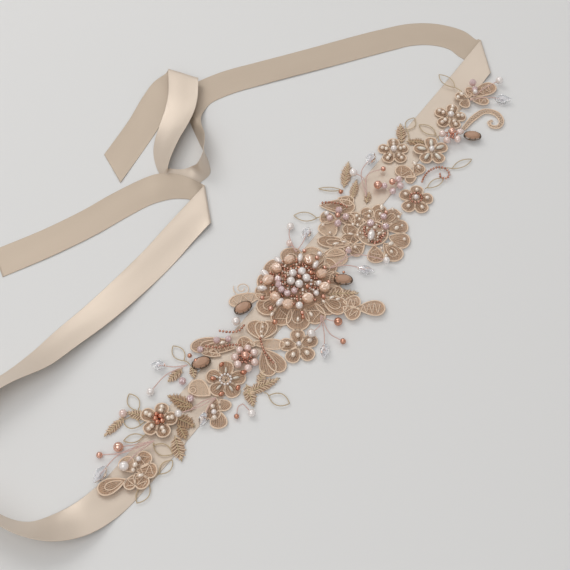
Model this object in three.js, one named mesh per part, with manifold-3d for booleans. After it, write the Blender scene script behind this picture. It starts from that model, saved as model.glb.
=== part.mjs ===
// Bridal sash laid on a table: a satin ribbon with a beaded lace applique along its front stretch.
// Millimetres, +Z up. X runs to the right along the table, Y runs away from the viewer.
// The origin is on the table under the middle of the whole sash.
import * as THREE from 'three';
import { mergeVertices } from 'three/addons/utils/BufferGeometryUtils.js';
import Module from 'manifold-3d';

const wasm = await Module();
wasm.setup();

// Driving dimensions
const RIBBON_WIDTH = 25;
const CLOTH = 1.0;
const SEAM_GAP = 0.3;
const SECTION_STEP = 7;
const FRONT_STEP = 40;
const LACE_THICK = 0.9;
const LACE_RIM = 1.3;
const BEAD_SINK = 0.45;
const WIRE = 0.9;
const THREAD = 1.0;
const PEARL = 3.0;
const SMALL_BEAD = 2.4;
const ROSE_BEAD = 1.7;
const RONDELLE = 4.0;

// Levels above the table: lace that lies on the ribbon, and flowers that lie on that lace
const LACE_LEVEL = CLOTH + SEAM_GAP;
const FLOWER_LEVEL = LACE_LEVEL + LACE_RIM + SEAM_GAP;

// Place of the middle of the sash's box in the layout's own coordinates
const MIDDLE = { x: -24.2, y: 34.0 };

const COLOURS = {
  satin: [0xdccfc0, 0.35, 0],
  reverse: [0xc6b8a4, 0.7, 0],
  lace: [0xb09a82, 0.85, 0],
  leaf: [0xa9926f, 0.9, 0],
  pearl: [0xe9dfd3, 0.25, 0],
  pink: [0xdcbcb0, 0.3, 0],
  stone: [0xa8836c, 0.3, 0],
  copper: [0xb86f52, 0.3, 0.8],
  wire: [0xc48f7c, 0.4, 0.7],
};

const group = new THREE.Group();
group.position.set(-MIDDLE.x, -MIDDLE.y, 0);

const radians = THREE.MathUtils.degToRad;

function addMesh(name, colour, geometry) {
  const [color, roughness, metalness] = COLOURS[colour];
  const mesh = new THREE.Mesh(geometry, new THREE.MeshStandardMaterial({ color, roughness, metalness }));
  mesh.name = name;
  group.add(mesh);
}

// Solids and their joining
function toManifold(geometry) {
  const bare = geometry.clone();
  bare.deleteAttribute('normal');
  bare.deleteAttribute('uv');
  const merged = mergeVertices(bare, 1e-4);
  return new wasm.Manifold(new wasm.Mesh({
    numProp: 3,
    vertProperties: new Float32Array(merged.attributes.position.array),
    triVerts: new Uint32Array(merged.index.array),
  }));
}

function joined(geometries) {
  const whole = geometries.map(toManifold).reduce((sum, solid) => sum.add(solid));
  const mesh = whole.getMesh();
  const geometry = new THREE.BufferGeometry();
  geometry.setAttribute('position', new THREE.BufferAttribute(new Float32Array(mesh.vertProperties), 3));
  geometry.setIndex(new THREE.BufferAttribute(new Uint32Array(mesh.triVerts), 1));
  return geometry;
}

// A closed mesh from rings of points, each joined to the next and capped at both ends.
// A dished outline is capped from its centre, so that the caps stay inside it.
function ringSolid(rings, capCentres = null) {
  const count = rings[0].length;
  const positions = rings.flat().flatMap((p) => [p.x, p.y, p.z]);
  const index = [];
  for (let r = 0; r < rings.length - 1; r += 1) {
    for (let i = 0; i < count; i += 1) {
      const a = r * count + i;
      const b = r * count + ((i + 1) % count);
      index.push(a, b, b + count, a, b + count, a + count);
    }
  }
  const last = (rings.length - 1) * count;
  if (capCentres) {
    capCentres.forEach((p) => positions.push(p.x, p.y, p.z));
    const under = rings.length * count;
    for (let i = 0; i < count; i += 1) {
      const next = (i + 1) % count;
      index.push(under, next, i);
      index.push(under + 1, last + i, last + next);
    }
  } else {
    for (let i = 1; i < count - 1; i += 1) {
      index.push(0, i + 1, i);
      index.push(last, last + i, last + i + 1);
    }
  }
  const geometry = new THREE.BufferGeometry();
  geometry.setAttribute('position', new THREE.BufferAttribute(new Float32Array(positions), 3));
  geometry.setIndex(index);
  return facingOut(geometry);
}

function facingOut(geometry) {
  const p = geometry.attributes.position;
  const index = geometry.index.array;
  const corner = (i) => new THREE.Vector3().fromBufferAttribute(p, index[i]);
  let volume = 0;
  for (let i = 0; i < index.length; i += 3) {
    volume += corner(i).dot(corner(i + 1).cross(corner(i + 2)));
  }
  if (volume < 0) {
    const turned = [];
    for (let i = 0; i < index.length; i += 3) {
      turned.push(index[i], index[i + 2], index[i + 1]);
    }
    geometry.setIndex(turned);
  }
  return geometry;
}

// Ribbon
// A rung crosses the ribbon from its right-hand edge q to its left-hand edge p, seen along the heading.
// Heading is in degrees from +X, roll lifts the left-hand edge, lift is the lower edge's height.
// A slant gives the rung its own direction where the ribbon is folded or cut on the slant.
function rung({ x, y, lift = 0, heading, roll = 0, slant = heading + 90, width = RIBBON_WIDTH }) {
  const half = width / 2 / Math.sin(radians(slant - heading));
  const rise = Math.abs(half) * Math.sin(radians(roll));
  const across = half * Math.cos(radians(roll));
  const side = new THREE.Vector3(
    across * Math.cos(radians(slant)),
    across * Math.sin(radians(slant)),
    rise,
  );
  const z = lift + Math.abs(rise) + (CLOTH / 2) * Math.cos(radians(roll));
  const centre = new THREE.Vector3(x, y, z);
  return { q: centre.clone().sub(side), p: centre.clone().add(side) };
}

// The turn of a fold: the cloth goes round a half circle and comes back under itself
function foldRungs({ x, y, heading, crease, top, radius, steps = 6 }) {
  const half = RIBBON_WIDTH / 2 / Math.sin(radians(crease - heading));
  const along = new THREE.Vector3(Math.cos(radians(crease)), Math.sin(radians(crease)), 0);
  const out = new THREE.Vector3(Math.cos(radians(crease - 90)), Math.sin(radians(crease - 90)), 0);
  const slide = 1 / Math.tan(radians(crease - heading));
  const rungs = [];
  for (let i = 0; i <= steps; i += 1) {
    const turn = (Math.PI * i) / steps;
    const centre = new THREE.Vector3(x, y, top - radius * (1 - Math.cos(turn)));
    centre.addScaledVector(out, radius * Math.sin(turn));
    centre.addScaledVector(along, slide * radius * turn);
    rungs.push({
      q: centre.clone().addScaledVector(along, -half),
      p: centre.clone().addScaledVector(along, half),
    });
  }
  return rungs;
}

// A cloth wall through its rungs
function strip(name, colour, rungs, step = SECTION_STEP) {
  const qCurve = new THREE.CatmullRomCurve3(rungs.map((r) => r.q), false, 'centripetal');
  const pCurve = new THREE.CatmullRomCurve3(rungs.map((r) => r.p), false, 'centripetal');
  const spans = rungs.length - 1;
  const places = [0];
  for (let s = 0; s < spans; s += 1) {
    const reach = Math.max(rungs[s].q.distanceTo(rungs[s + 1].q), rungs[s].p.distanceTo(rungs[s + 1].p));
    const parts = Math.max(1, Math.round(reach / step));
    for (let k = 1; k <= parts; k += 1) {
      places.push(s + k / parts);
    }
  }
  const steps = places.length - 1;
  const at = (curve, i) => curve.getPoint(places[i] / spans);
  const rings = [];
  for (let i = 0; i <= steps; i += 1) {
    const q = at(qCurve, i);
    const p = at(pCurve, i);
    const before = at(qCurve, Math.max(0, i - 1)).add(at(pCurve, Math.max(0, i - 1)));
    const after = at(qCurve, Math.min(steps, i + 1)).add(at(pCurve, Math.min(steps, i + 1)));
    const forward = after.sub(before).normalize();
    const normal = p.clone().sub(q).cross(forward).normalize().multiplyScalar(CLOTH / 2);
    if (i === 0 || i === steps) {
      const trim = (SEAM_GAP / 2 + 0.05) * (i === 0 ? 1 : -1);
      q.addScaledVector(forward, trim);
      p.addScaledVector(forward, trim);
    }
    const under = [q.clone().sub(normal), p.clone().sub(normal)];
    const over = [p.clone().add(normal), q.clone().add(normal)];
    const ring = under.concat(over);
    ring.forEach((corner) => { corner.z = Math.max(0, corner.z); });
    rings.push(ring);
  }
  addMesh(name, colour, ringSolid(rings));
}

// The whole course of the ribbon, from the slanted end of tail A to the plain end of tail B
const FRONT_START = { x: -103.6, y: -152.1, heading: 54.2 };
const FOLD_RIGHT = { x: 164.5, y: 219.5, heading: 54.2, crease: 97, top: 3.1, radius: 1.3 };
const FOLD_LEFT = { x: -59, y: 67.5, heading: 55, crease: 100, top: 3.9, radius: 1.7 };
const FOLD_TOP = { x: -84, y: 195, heading: 88.5, crease: 163, top: 9.2, radius: 3.1 };

const underFold = (fold) => {
  const turned = foldRungs(fold);
  return turned[turned.length - 1];
};
const overFold = (fold) => foldRungs(fold)[0];
const swapped = ({ q, p }) => ({ q: p, p: q });

function ribbonStretches() {
  strip('ribbon_front', 'satin', [
    rung(FRONT_START),
    rung({ x: 129, y: 170.4, heading: 54.2 }),
    rung({ x: 147, y: 195.3, heading: 54.2, lift: 0.7 }),
    overFold(FOLD_RIGHT),
  ], FRONT_STEP);
  strip('ribbon_right_fold', 'satin', foldRungs(FOLD_RIGHT));

  const runEnd = { x: -62, y: 185, heading: 207 };
  const runRows = [
    { x: 152, y: 232, heading: 139 },
    { x: 143.5, y: 241, heading: 147 },
    { x: 126, y: 247.5, heading: 167 },
    { x: 106, y: 247.5, heading: 182 },
    { x: 82.5, y: 240.5, heading: 198 },
    { x: 31.5, y: 222, heading: 199 },
    { x: -19, y: 204, heading: 199.5 },
    { x: -45, y: 194.2, heading: 202 },
    runEnd,
  ];
  strip('ribbon_right_run', 'reverse', [swapped(underFold(FOLD_RIGHT)), ...runRows.map(rung)]);

  loopStretches(rung(runEnd));

  strip('ribbon_top_fold', 'satin', foldRungs(FOLD_TOP));
  const tailA = [
    { x: -96, y: 184.5, lift: 2.6, heading: 241 },
    { x: -104, y: 169, lift: 1.4, heading: 245 },
    { x: -112.6, y: 147, heading: 246 },
    { x: -132.5, y: 105, heading: 245.5, slant: 298.5 },
  ];
  strip('ribbon_tail_a', 'reverse', [swapped(underFold(FOLD_TOP)), ...tailA.map(rung)]);

  const leftCurve = [
    { ...FRONT_START, heading: FRONT_START.heading + 180 },
    { x: -114, y: -163.5, heading: 217 },
    { x: -127, y: -174.5, heading: 205, roll: 11 },
    { x: -143, y: -181.5, heading: 191, roll: 30 },
    { x: -161, y: -182.5, heading: 176, roll: 54 },
    { x: -179, y: -175.5, heading: 160, roll: 67 },
  ];
  const turnOut = [
    leftCurve[leftCurve.length - 1],
    { x: -197, y: -163, lift: 2, heading: 136, roll: 62 },
    { x: -210, y: -144, lift: 6, heading: 112, roll: 42 },
    { x: -215, y: -122, lift: 10, heading: 90, roll: 10 },
  ];
  const turnBack = [
    turnOut[turnOut.length - 1],
    { x: -210, y: -102, lift: 7, heading: 64, roll: -22 },
    { x: -200, y: -90, lift: 3, heading: 50, roll: -38 },
    { x: -186.5, y: -79.5, heading: 45, roll: -43 },
  ];
  const leftRun = [
    turnBack[turnBack.length - 1],
    { x: -166, y: -63, heading: 45, roll: -27 },
    { x: -150.5, y: -46, heading: 48, roll: -18 },
    { x: -129, y: -23, heading: 51, roll: -9 },
    { x: -95, y: 19, heading: 54 },
    { x: -76, y: 45, heading: 55, lift: 1.6 },
  ];
  strip('ribbon_left_curve', 'satin', leftCurve.map(rung));
  strip('ribbon_left_turn_out', 'satin', turnOut.map(rung));
  strip('ribbon_left_turn_back', 'satin', turnBack.map(rung));
  strip('ribbon_left_run', 'satin', [...leftRun.map(rung), overFold(FOLD_LEFT)]);
  strip('ribbon_left_fold', 'satin', foldRungs(FOLD_LEFT));

  const tailB = [
    { x: -68.5, y: 77, lift: 0.6, heading: 146 },
    { x: -80, y: 82.5, lift: 0.3, heading: 166, roll: -13, width: 22.5 },
    { x: -95, y: 83.2, lift: 0.3, heading: 182, roll: -13, width: 22.5 },
    { x: -109.5, y: 80.5, heading: 197, roll: -4, width: 24 },
    { x: -126, y: 68.5, heading: 209 },
    { x: -144, y: 55, heading: 210.5 },
    { x: -174, y: 36, heading: 208 },
    { x: -207.5, y: 18, heading: 205, slant: 293 },
  ];
  strip('ribbon_tail_b', 'reverse', [swapped(underFold(FOLD_LEFT)), ...tailB.map(rung)]);
}

// The loop turns half over, so its two edges are given by themselves: q stays low, p is the high rim
function loopStretches(start) {
  const edges = ({ qx, qy, qz = 0.5, px, py, pz }) => ({
    q: new THREE.Vector3(qx, qy, qz),
    p: new THREE.Vector3(px, py, pz),
  });
  const loopRows = [
    { qx: -76, qy: 190, px: -60.5, py: 170, pz: 0.5 },
    { qx: -81, qy: 178, px: -64, py: 163, pz: 1.6 },
    { qx: -79, qy: 163, px: -66, py: 152, pz: 6 },
    { qx: -74.5, qy: 150, px: -64.5, py: 138, pz: 13 },
    { qx: -69.5, qy: 137, px: -61.5, py: 125, pz: 18.5 },
    { qx: -64, qy: 124, px: -61, py: 112, pz: 21 },
    { qx: -59, qy: 112, px: -62.5, py: 103.5, pz: 19 },
    { qx: -57.5, qy: 100, px: -66.5, py: 99, pz: 14 },
    { qx: -64, qy: 92, px: -71, py: 101, pz: 8.5 },
    { qx: -72, qy: 84, px: -76, py: 101, pz: 5.5 },
    { qx: -81, qy: 83, px: -82, py: 100.5, pz: 5.5 },
    { qx: -89.5, qy: 87, px: -87, py: 100.5, pz: 6.5 },
    { qx: -95, qy: 98, px: -88.5, py: 97.5, pz: 10.5 },
    { qx: -99.5, qy: 109, px: -87.5, py: 104, pz: 12 },
    { qx: -102, qy: 122, px: -85, py: 113, pz: 12.5 },
  ];
  const middleRows = [
    loopRows[loopRows.length - 1],
    { qx: -101, qy: 134, qz: 2.5, px: -81, py: 126, pz: 12 },
    { qx: -99.5, qy: 147, qz: 4.5, px: -77, py: 141, pz: 10.5 },
    { qx: -97, qy: 161, qz: 6.2, px: -73, py: 157, pz: 9.2 },
    { qx: -95.5, qy: 176, qz: 8, px: -71.3, py: 173, pz: 8.8 },
  ];
  strip('ribbon_loop', 'satin', [start, ...loopRows.map(edges)]);
  strip('ribbon_middle', 'satin', [...middleRows.map(edges), swapped(overFold(FOLD_TOP))]);
}

// Outlines of the motifs, round their own middle
function petalOutline({ r, petals = 5, notch = 0.6, perPetal = 6 }) {
  const count = petals * perPetal;
  return Array.from({ length: count }, (_, i) => {
    const angle = (2 * Math.PI * i) / count;
    const lobe = Math.abs(Math.cos((petals * angle) / 2)) ** 0.7;
    const radius = r * (notch + (1 - notch) * lobe);
    return new THREE.Vector2(radius * Math.cos(angle), radius * Math.sin(angle));
  });
}

function leafOutline({ length, width, scallops = 0, points = scallops ? 12 : 6 }) {
  const side = (sign) => Array.from({ length: points }, (_, i) => {
    const t = (i + 0.5) / points;
    const swell = Math.sin(Math.PI * t ** 0.85) ** 0.8;
    const scallop = 1 + (scallops ? 0.16 * Math.cos(2 * Math.PI * scallops * t) : 0);
    return new THREE.Vector2((t - 0.5) * length, (sign * width * swell * scallop) / 2);
  });
  const base = new THREE.Vector2(-length / 2, 0);
  const tip = new THREE.Vector2(length / 2, 0);
  return [base, ...side(-1), tip, ...side(1).reverse()];
}

// A flat motif whose corded edge stands above its middle
function plate(outline, { x, y, level = LACE_LEVEL, turn = 0, rim = LACE_RIM, floor = LACE_THICK }) {
  const ring = (scale, height) => outline.map((p) => new THREE.Vector3(p.x * scale, p.y * scale, height));
  const middle = [0, floor].map((height) => new THREE.Vector3(0, 0, height));
  const rings = [ring(1, 0), ring(1, rim)];
  if (rim > floor) {
    rings.push(ring(0.82, floor));
  }
  return ringSolid(rings, middle).rotateZ(radians(turn)).translate(x, y, level);
}

function disc({ x, y, r, level = FLOWER_LEVEL, height = LACE_THICK, sides = 16 }) {
  return new THREE.CylinderGeometry(r, r, height, sides)
    .rotateX(Math.PI / 2)
    .translate(x, y, level + height / 2);
}

function bead({ x, y, z, r, stretch = 1, flat = 1, turn = 0 }) {
  return new THREE.SphereGeometry(r, 6, r < SMALL_BEAD ? 3 : 4)
    .rotateX(Math.PI / 2)
    .scale(stretch, 1, flat)
    .rotateZ(radians(turn))
    .translate(x, y, z);
}

// A cut crystal drop: two cones joined at their wide ends
function crystal({ x, y, z, r, length, turn = 0 }) {
  const half = length / 2;
  const profile = [[0, -half], [r * 0.45, -half], [r, -half * 0.1], [r * 0.4, half], [0, half]];
  return new THREE.LatheGeometry(profile.map(([a, b]) => new THREE.Vector2(a, b)), 6)
    .rotateZ(-Math.PI / 2)
    .rotateZ(radians(turn))
    .translate(x, y, z);
}

function wire(points, thickness = WIRE) {
  const half = thickness / 2;
  const section = new THREE.Shape([[half, 0], [0, half], [-half, 0], [0, -half]].map(([a, b]) => (
    new THREE.Vector2(a, b)
  )));
  const extrudePath = new THREE.CatmullRomCurve3(points);
  return new THREE.ExtrudeGeometry(section, { steps: 4, bevelEnabled: false, extrudePath });
}

// Lace flowers: a petalled plate, beads along each petal and a knot of beads in the middle
const FLOWERS = [
  { name: 'end', x: -95, y: -143, level: FLOWER_LEVEL, r: 12.5, turn: 60, bead: 1.8, core: 2, cores: 3 },
  { name: 'low', x: -83, y: -107, level: FLOWER_LEVEL, r: 12.5, turn: 8, bead: 1.8, core: 2.1, cores: 4 },
  { name: 'bugle', x: -40, y: -77, r: 13, turn: 18, bead: 1.4, stretch: 2.2, core: 2.2 },
  { name: 'fore', x: 9.5, y: -50.5, r: 13.6, turn: 22, bead: 1.8, core: 2 },
  { name: 'pearl', x: 84, y: 121, r: 12.5, turn: 18, bead: 1.8, stretch: 1.5, core: 2.6 },
  { name: 'seed', x: 98, y: 74.5, r: 14, turn: 1, bead: 1.8, core: 2.2 },
  { name: 'tube', x: 113, y: 120, level: FLOWER_LEVEL, r: 13, turn: 56, bead: 1.7, stretch: 2, core: 2.3 },
  { name: 'high', x: 131, y: 156, r: 12.5, turn: 59.5, bead: 2, core: 2.6 },
  { name: 'tip', x: 146, y: 174.5, level: FLOWER_LEVEL, r: 9.5, turn: 95, bead: 1.6, core: 2.2 },
];

// What else is sewn to a flower's own piece of lace
const FLOWER_EXTRAS = {
  end: () => [
    plate(leafOutline({ length: 21, width: 11 }), { x: -109, y: -153.5, turn: 198, level: FLOWER_LEVEL }),
  ],
  tip: () => [
    plate(leafOutline({ length: 20, width: 12 }), { x: 162, y: 183, turn: 25, level: FLOWER_LEVEL }),
    plate(leafOutline({ length: 17, width: 8 }), { x: 149.5, y: 182.5, turn: 75, level: FLOWER_LEVEL }),
    openLeaf({
      x: 131,
      y: 193,
      length: 18,
      width: 9,
      turn: 130,
      hub: { x: 146, y: 175 },
      level: FLOWER_LEVEL + LACE_RIM - LACE_THICK,
    }),
    bead({ x: 151, y: 187, z: FLOWER_LEVEL + 2.2, r: 2.8 }),
    bead({ x: 152, y: 181.5, z: FLOWER_LEVEL + LACE_RIM, r: 2 }),
  ],
};

function flower({
  name, x, y, level = LACE_LEVEL, r, turn, bead: beadR, stretch = 1, core, cores = 1,
}) {
  const top = level + LACE_THICK;
  const solids = [plate(petalOutline({ r }), { x, y, turn, level })];
  for (let i = 0; i < 5; i += 1) {
    const angle = turn + 72 * i;
    const reach = r * 0.58;
    solids.push(bead({
      x: x + reach * Math.cos(radians(angle)),
      y: y + reach * Math.sin(radians(angle)),
      z: top + beadR - BEAD_SINK,
      r: beadR,
      stretch,
      turn: angle,
    }));
  }
  const spread = cores > 1 ? core * 1.1 : 0;
  for (let i = 0; i < cores; i += 1) {
    const angle = (360 * i) / cores + 45;
    solids.push(bead({
      x: x + spread * Math.cos(radians(angle)),
      y: y + spread * Math.sin(radians(angle)),
      z: top + core - BEAD_SINK,
      r: core,
    }));
  }
  const extras = FLOWER_EXTRAS[name] ? FLOWER_EXTRAS[name]() : [];
  addMesh(`lace_flower_${name}`, 'lace', joined(solids.concat(extras)));
}

// The middle flower: broad corded petals under a dome of pearls and faceted beads
const MIDDLE_FLOWER = { x: 10, y: 1 };
const DOME_BEADS = [
  { dx: -7, dy: 16, r: RONDELLE, flat: 0.8 },
  { dx: 7, dy: 16, r: RONDELLE, flat: 0.8 },
  { dx: 16, dy: 4, r: RONDELLE, flat: 0.8 },
  { dx: 18, dy: -7, r: RONDELLE, flat: 0.8 },
  { dx: 6, dy: -16, r: RONDELLE, flat: 0.8 },
  { dx: -8, dy: -20, r: RONDELLE, flat: 0.8 },
  { dx: -17, dy: -14, r: RONDELLE, flat: 0.8 },
  { dx: -21, dy: 0, r: RONDELLE, flat: 0.8 },
  { dx: -15, dy: 9, r: RONDELLE, flat: 0.8 },
  { dx: -15, dy: 16, r: 2.4, stretch: 1.6, turn: -40 },
  { dx: 1, dy: 18, r: 2.4, stretch: 1.6, turn: 80 },
  { dx: 12, dy: 12, r: 2.4, stretch: 1.6, turn: 60 },
  { dx: -24, dy: 6, r: 2.4, stretch: 1.6, turn: -30 },
  { dx: -25, dy: -7, r: 2.4, stretch: 1.6, turn: 0 },
  { dx: -13, dy: -19, r: 2.4, stretch: 1.6, turn: 50 },
  { dx: 0, dy: -21, r: PEARL },
  { dx: 12, dy: -11, r: 2.6 },
];
const DOME_PEARLS = { count: 5, spread: 5, hump: 9, humpHeight: 2.4 };

function middleFlower() {
  const { x, y } = MIDDLE_FLOWER;
  const petals = plate(petalOutline({ r: 35.5, petals: 7, notch: 0.78 }), { x: x - 2, y: y - 2, turn: 12 });
  addMesh('lace_flower_middle', 'lace', petals);

  const top = FLOWER_LEVEL + LACE_THICK;
  const solids = [
    disc({ x: x - 3, y: y - 1.5, r: 22 }),
    disc({ x, y, r: DOME_PEARLS.hump, height: LACE_THICK + DOME_PEARLS.humpHeight }),
  ];
  DOME_BEADS.forEach(({ dx, dy, r, flat = 1, stretch, turn }) => {
    solids.push(bead({ x: x + dx, y: y + dy, z: top + r * flat - BEAD_SINK, r, flat, stretch, turn }));
  });
  for (let i = 0; i < DOME_PEARLS.count; i += 1) {
    const angle = radians((360 * i) / DOME_PEARLS.count + 36);
    solids.push(bead({
      x: x + DOME_PEARLS.spread * Math.cos(angle),
      y: y + DOME_PEARLS.spread * Math.sin(angle),
      z: top + DOME_PEARLS.humpHeight + PEARL - BEAD_SINK,
      r: PEARL,
    }));
  }
  addMesh('bead_dome', 'pearl', joined(solids));
}

// The upper big flower with its oval of beads, and the opal flower beside it
function upperFlowers() {
  const top = LACE_LEVEL + LACE_THICK;
  const upper = { x: 66, y: 43 };
  const upperBeads = [
    { dx: -3, dy: -3, r: 2.6, stretch: 1.7, turn: 75 },
    { dx: -3, dy: 8, r: 2.3 },
    { dx: 8, dy: 5, r: 2.3 },
    { dx: 7, dy: 14, r: 2.3 },
    { dx: 13, dy: -10, r: 2.2 },
    { dx: 17, dy: 4, r: 1.7, stretch: 1.5, turn: 40 },
    { dx: -15, dy: 7, r: 1.6, stretch: 1.5, turn: 30 },
    { dx: -15, dy: -6, r: 1.6, stretch: 1.5, turn: 10 },
    { dx: 0, dy: 17, r: 1.8 },
  ];
  addMesh('lace_flower_upper', 'lace', joined([
    plate(petalOutline({ r: 22, petals: 8, notch: 0.8, perPetal: 5 }), { ...upper, turn: 10 }),
    ...upperBeads.map(({ dx, dy, r, stretch, turn }) => (
      bead({ x: upper.x + dx, y: upper.y + dy, z: top + r - BEAD_SINK, r, stretch, turn })
    )),
    plate(leafOutline({ length: 25, width: 11 }), { x: 41, y: 31, turn: 5 }),
  ]));

  const opal = { x: 37, y: 60 };
  const opals = [0, 1, 2, 3].map((i) => bead({
    x: opal.x + 1 + 5 * Math.cos(radians(90 * i + 10)),
    y: opal.y - 2 + 5 * Math.sin(radians(90 * i + 10)),
    z: top + 2.2 - BEAD_SINK,
    r: 2.2,
  }));
  addMesh('lace_flower_opal', 'lace', joined([
    plate(leafOutline({ length: 27, width: 14 }), { x: opal.x + 1, y: opal.y + 7, turn: -5 }),
    openLeaf({ x: 30, y: 86, length: 15, width: 8, turn: 185, hub: { x: opal.x, y: opal.y } }),
    openLeaf({ x: 15, y: 59, length: 19, width: 9, turn: 172, hub: { x: opal.x, y: opal.y - 4 } }),
    plate(petalOutline({ r: 10.5, petals: 3, notch: 0.8, perPetal: 8 }), {
      x: opal.x - 2,
      y: opal.y - 3,
      turn: 200,
    }),
    ...opals,
    bead({ x: opal.x + 1, y: opal.y - 2, z: top + ROSE_BEAD - BEAD_SINK, r: ROSE_BEAD }),
  ]));
}

// Pink pearl clusters
const CLUSTERS = [
  { name: 'cluster_low', x: -27, y: -61, count: 7, turn: 20 },
  { name: 'cluster_high', x: 131, y: 137.5, count: 4, turn: -30, level: FLOWER_LEVEL },
];

function cluster({ name, x, y, count, turn, level = LACE_LEVEL }) {
  const solids = [disc({ x, y, r: 5.5, level, sides: 10 })];
  for (let i = 0; i < count; i += 1) {
    const angle = radians((360 * i) / count + turn);
    solids.push(bead({
      x: x + 5.4 * Math.cos(angle),
      y: y + 5.4 * Math.sin(angle),
      z: level + 2.2,
      r: 2.4,
    }));
  }
  solids.push(bead({ x, y, z: level + LACE_THICK + PEARL - BEAD_SINK, r: PEARL }));
  addMesh(name, 'pink', joined(solids));
}

// Brown marquise stones, each in a low metal cup
const STONES = [
  { name: 'stone_right', level: FLOWER_LEVEL, x: 41.5, y: 2, turn: -5 },
  { name: 'stone_left', x: -29.5, y: -20.5, turn: 35 },
  { name: 'stone_low', x: -57, y: -64, turn: 25 },
  { name: 'stone_high', x: 146, y: 134.5, turn: -5, level: FLOWER_LEVEL },
];

function stone({ name, x, y, turn, level = LACE_LEVEL }) {
  const outline = leafOutline({ length: 15, width: 10, points: 5 });
  const ring = (scale, height) => outline.map((p) => new THREE.Vector3(p.x * scale, p.y * scale, height));
  const middles = [new THREE.Vector3(0, 0, 0), new THREE.Vector3(0, 0, 4.4)];
  const solid = ringSolid([ring(0.8, 0), ring(1, 1.8), ring(0.94, 2.4), ring(0.55, 4.2)], middles);
  addMesh(name, 'stone', solid.rotateZ(radians(turn)).translate(x, y, level));
}

// Lace and embroidered leaves that lie flat beside the flowers
const LEAVES = [
  { name: 'leaf_scallop', x: 51, y: -20, length: 38, width: 17, turn: -14, scallops: 3, level: FLOWER_LEVEL },
  { name: 'petal_fan_low', x: -11.7, y: -67.3, length: 21, width: 18, turn: -60 },
  { name: 'petal_fan_high', x: -17, y: -39, length: 20, width: 18, turn: 60 },
  { name: 'petal_left', x: -51, y: -50, length: 26, width: 12, turn: 20 },
  { name: 'petal_curl', x: -61, y: -85, length: 15, width: 11, turn: 150 },
  { name: 'leaf_fern', x: -112.5, y: -112, length: 20, width: 6, turn: 234, rim: LACE_THICK },
  { name: 'leaf_feather', x: -72, y: -92.5, length: 17, width: 8, turn: 137, rim: LACE_THICK },
];

// Sprays: leaves and open leaves on stems that meet at a hub under a flower
const SPRAYS = [
  { name: 'spray_low', hub: { x: -83, y: -107 }, open: [
    { x: -101, y: -93, length: 15, width: 9, turn: 118 },
    { x: -101, y: -108, length: 11, width: 8, turn: 170 },
    { x: -99, y: -118, length: 12, width: 7, turn: 195 },
    { x: -82, y: -126, length: 13, width: 9, turn: -55 },
  ] },
  { name: 'spray_end', hub: { x: -95, y: -143 }, open: [
    { x: -77.5, y: -140, length: 15, width: 8.5, turn: 60 },
    { x: -90, y: -160, length: 14, width: 9, turn: 245 },
  ] },
  { name: 'spray_left', hub: { x: -64.5, y: -67.9 }, open: [
    { x: -73, y: -56, length: 14, width: 9, turn: 125 },
  ], leaves: [
    { x: -76, y: -75, length: 13, width: 6, turn: 250 },
  ] },
  { name: 'spray_stem', hub: { x: -65, y: -115 }, leaves: [
    { x: -67, y: -111, length: 14, width: 9, turn: -60 },
    { x: -70, y: -129, length: 18, width: 9, turn: -69 },
  ] },
  { name: 'spray_cream', hub: { x: -14, y: -85 }, open: [
    { x: -1, y: -93, length: 15, width: 9, turn: -20 },
  ], leaves: [
    { x: -13.5, y: -84.9, length: 30, width: 9, turn: 37 },
  ] },
  { name: 'spray_tall', hub: { x: 53, y: 80 }, leaves: [
    { x: 46.5, y: 99, length: 25, width: 8, turn: 83 },
    { x: 54, y: 85, length: 16, width: 6, turn: 65 },
  ] },
  { name: 'spray_upper', hub: { x: 105, y: 130 }, open: [
    { x: 99, y: 149, length: 15, width: 9, turn: 65 },
    { x: 112, y: 145, length: 15, width: 8, turn: 140 },
  ], leaves: [
    { x: 100, y: 133, length: 13, width: 7, turn: 150 },
  ] },
  { name: 'spray_right', hub: { x: 117, y: 112 }, open: [
    { x: 136, y: 109, length: 20, width: 7, turn: 30 },
  ] },
];

// A thin flat stem from a hub to the foot of a leaf
function stem(hub, { x, y, length, turn, level = LACE_LEVEL }) {
  const foot = new THREE.Vector2(
    x - (length / 2 - THREAD) * Math.cos(radians(turn)),
    y - (length / 2 - THREAD) * Math.sin(radians(turn)),
  );
  const run = foot.clone().sub(hub);
  return new THREE.BoxGeometry(run.length() + THREAD, THREAD, LACE_THICK)
    .rotateZ(run.angle())
    .translate((hub.x + foot.x) / 2, (hub.y + foot.y) / 2, level + LACE_THICK / 2);
}

function openLeaf({ x, y, length, width, turn, hub, level = LACE_LEVEL }) {
  const outline = leafOutline({ length, width, points: 5 });
  const inner = leafOutline({ length: length - 4 * THREAD, width: width - 2 * THREAD, points: 5 });
  const shape = new THREE.Shape(outline);
  shape.holes.push(new THREE.Path(inner));
  const ring = new THREE.ExtrudeGeometry(shape, { depth: LACE_THICK, bevelEnabled: false })
    .rotateZ(radians(turn))
    .translate(x, y, level);
  return joined([ring, stem(hub, { x, y, length, turn, level })]);
}

function spray({ name, hub, open = [], leaves = [] }) {
  const solids = open.map((leaf) => openLeaf({ ...leaf, hub }));
  leaves.forEach(({ length, width, ...place }) => {
    solids.push(plate(leafOutline({ length, width }), { ...place, rim: LACE_THICK }));
    solids.push(stem(hub, { length, ...place }));
  });
  addMesh(name, 'leaf', joined(solids));
}

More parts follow.
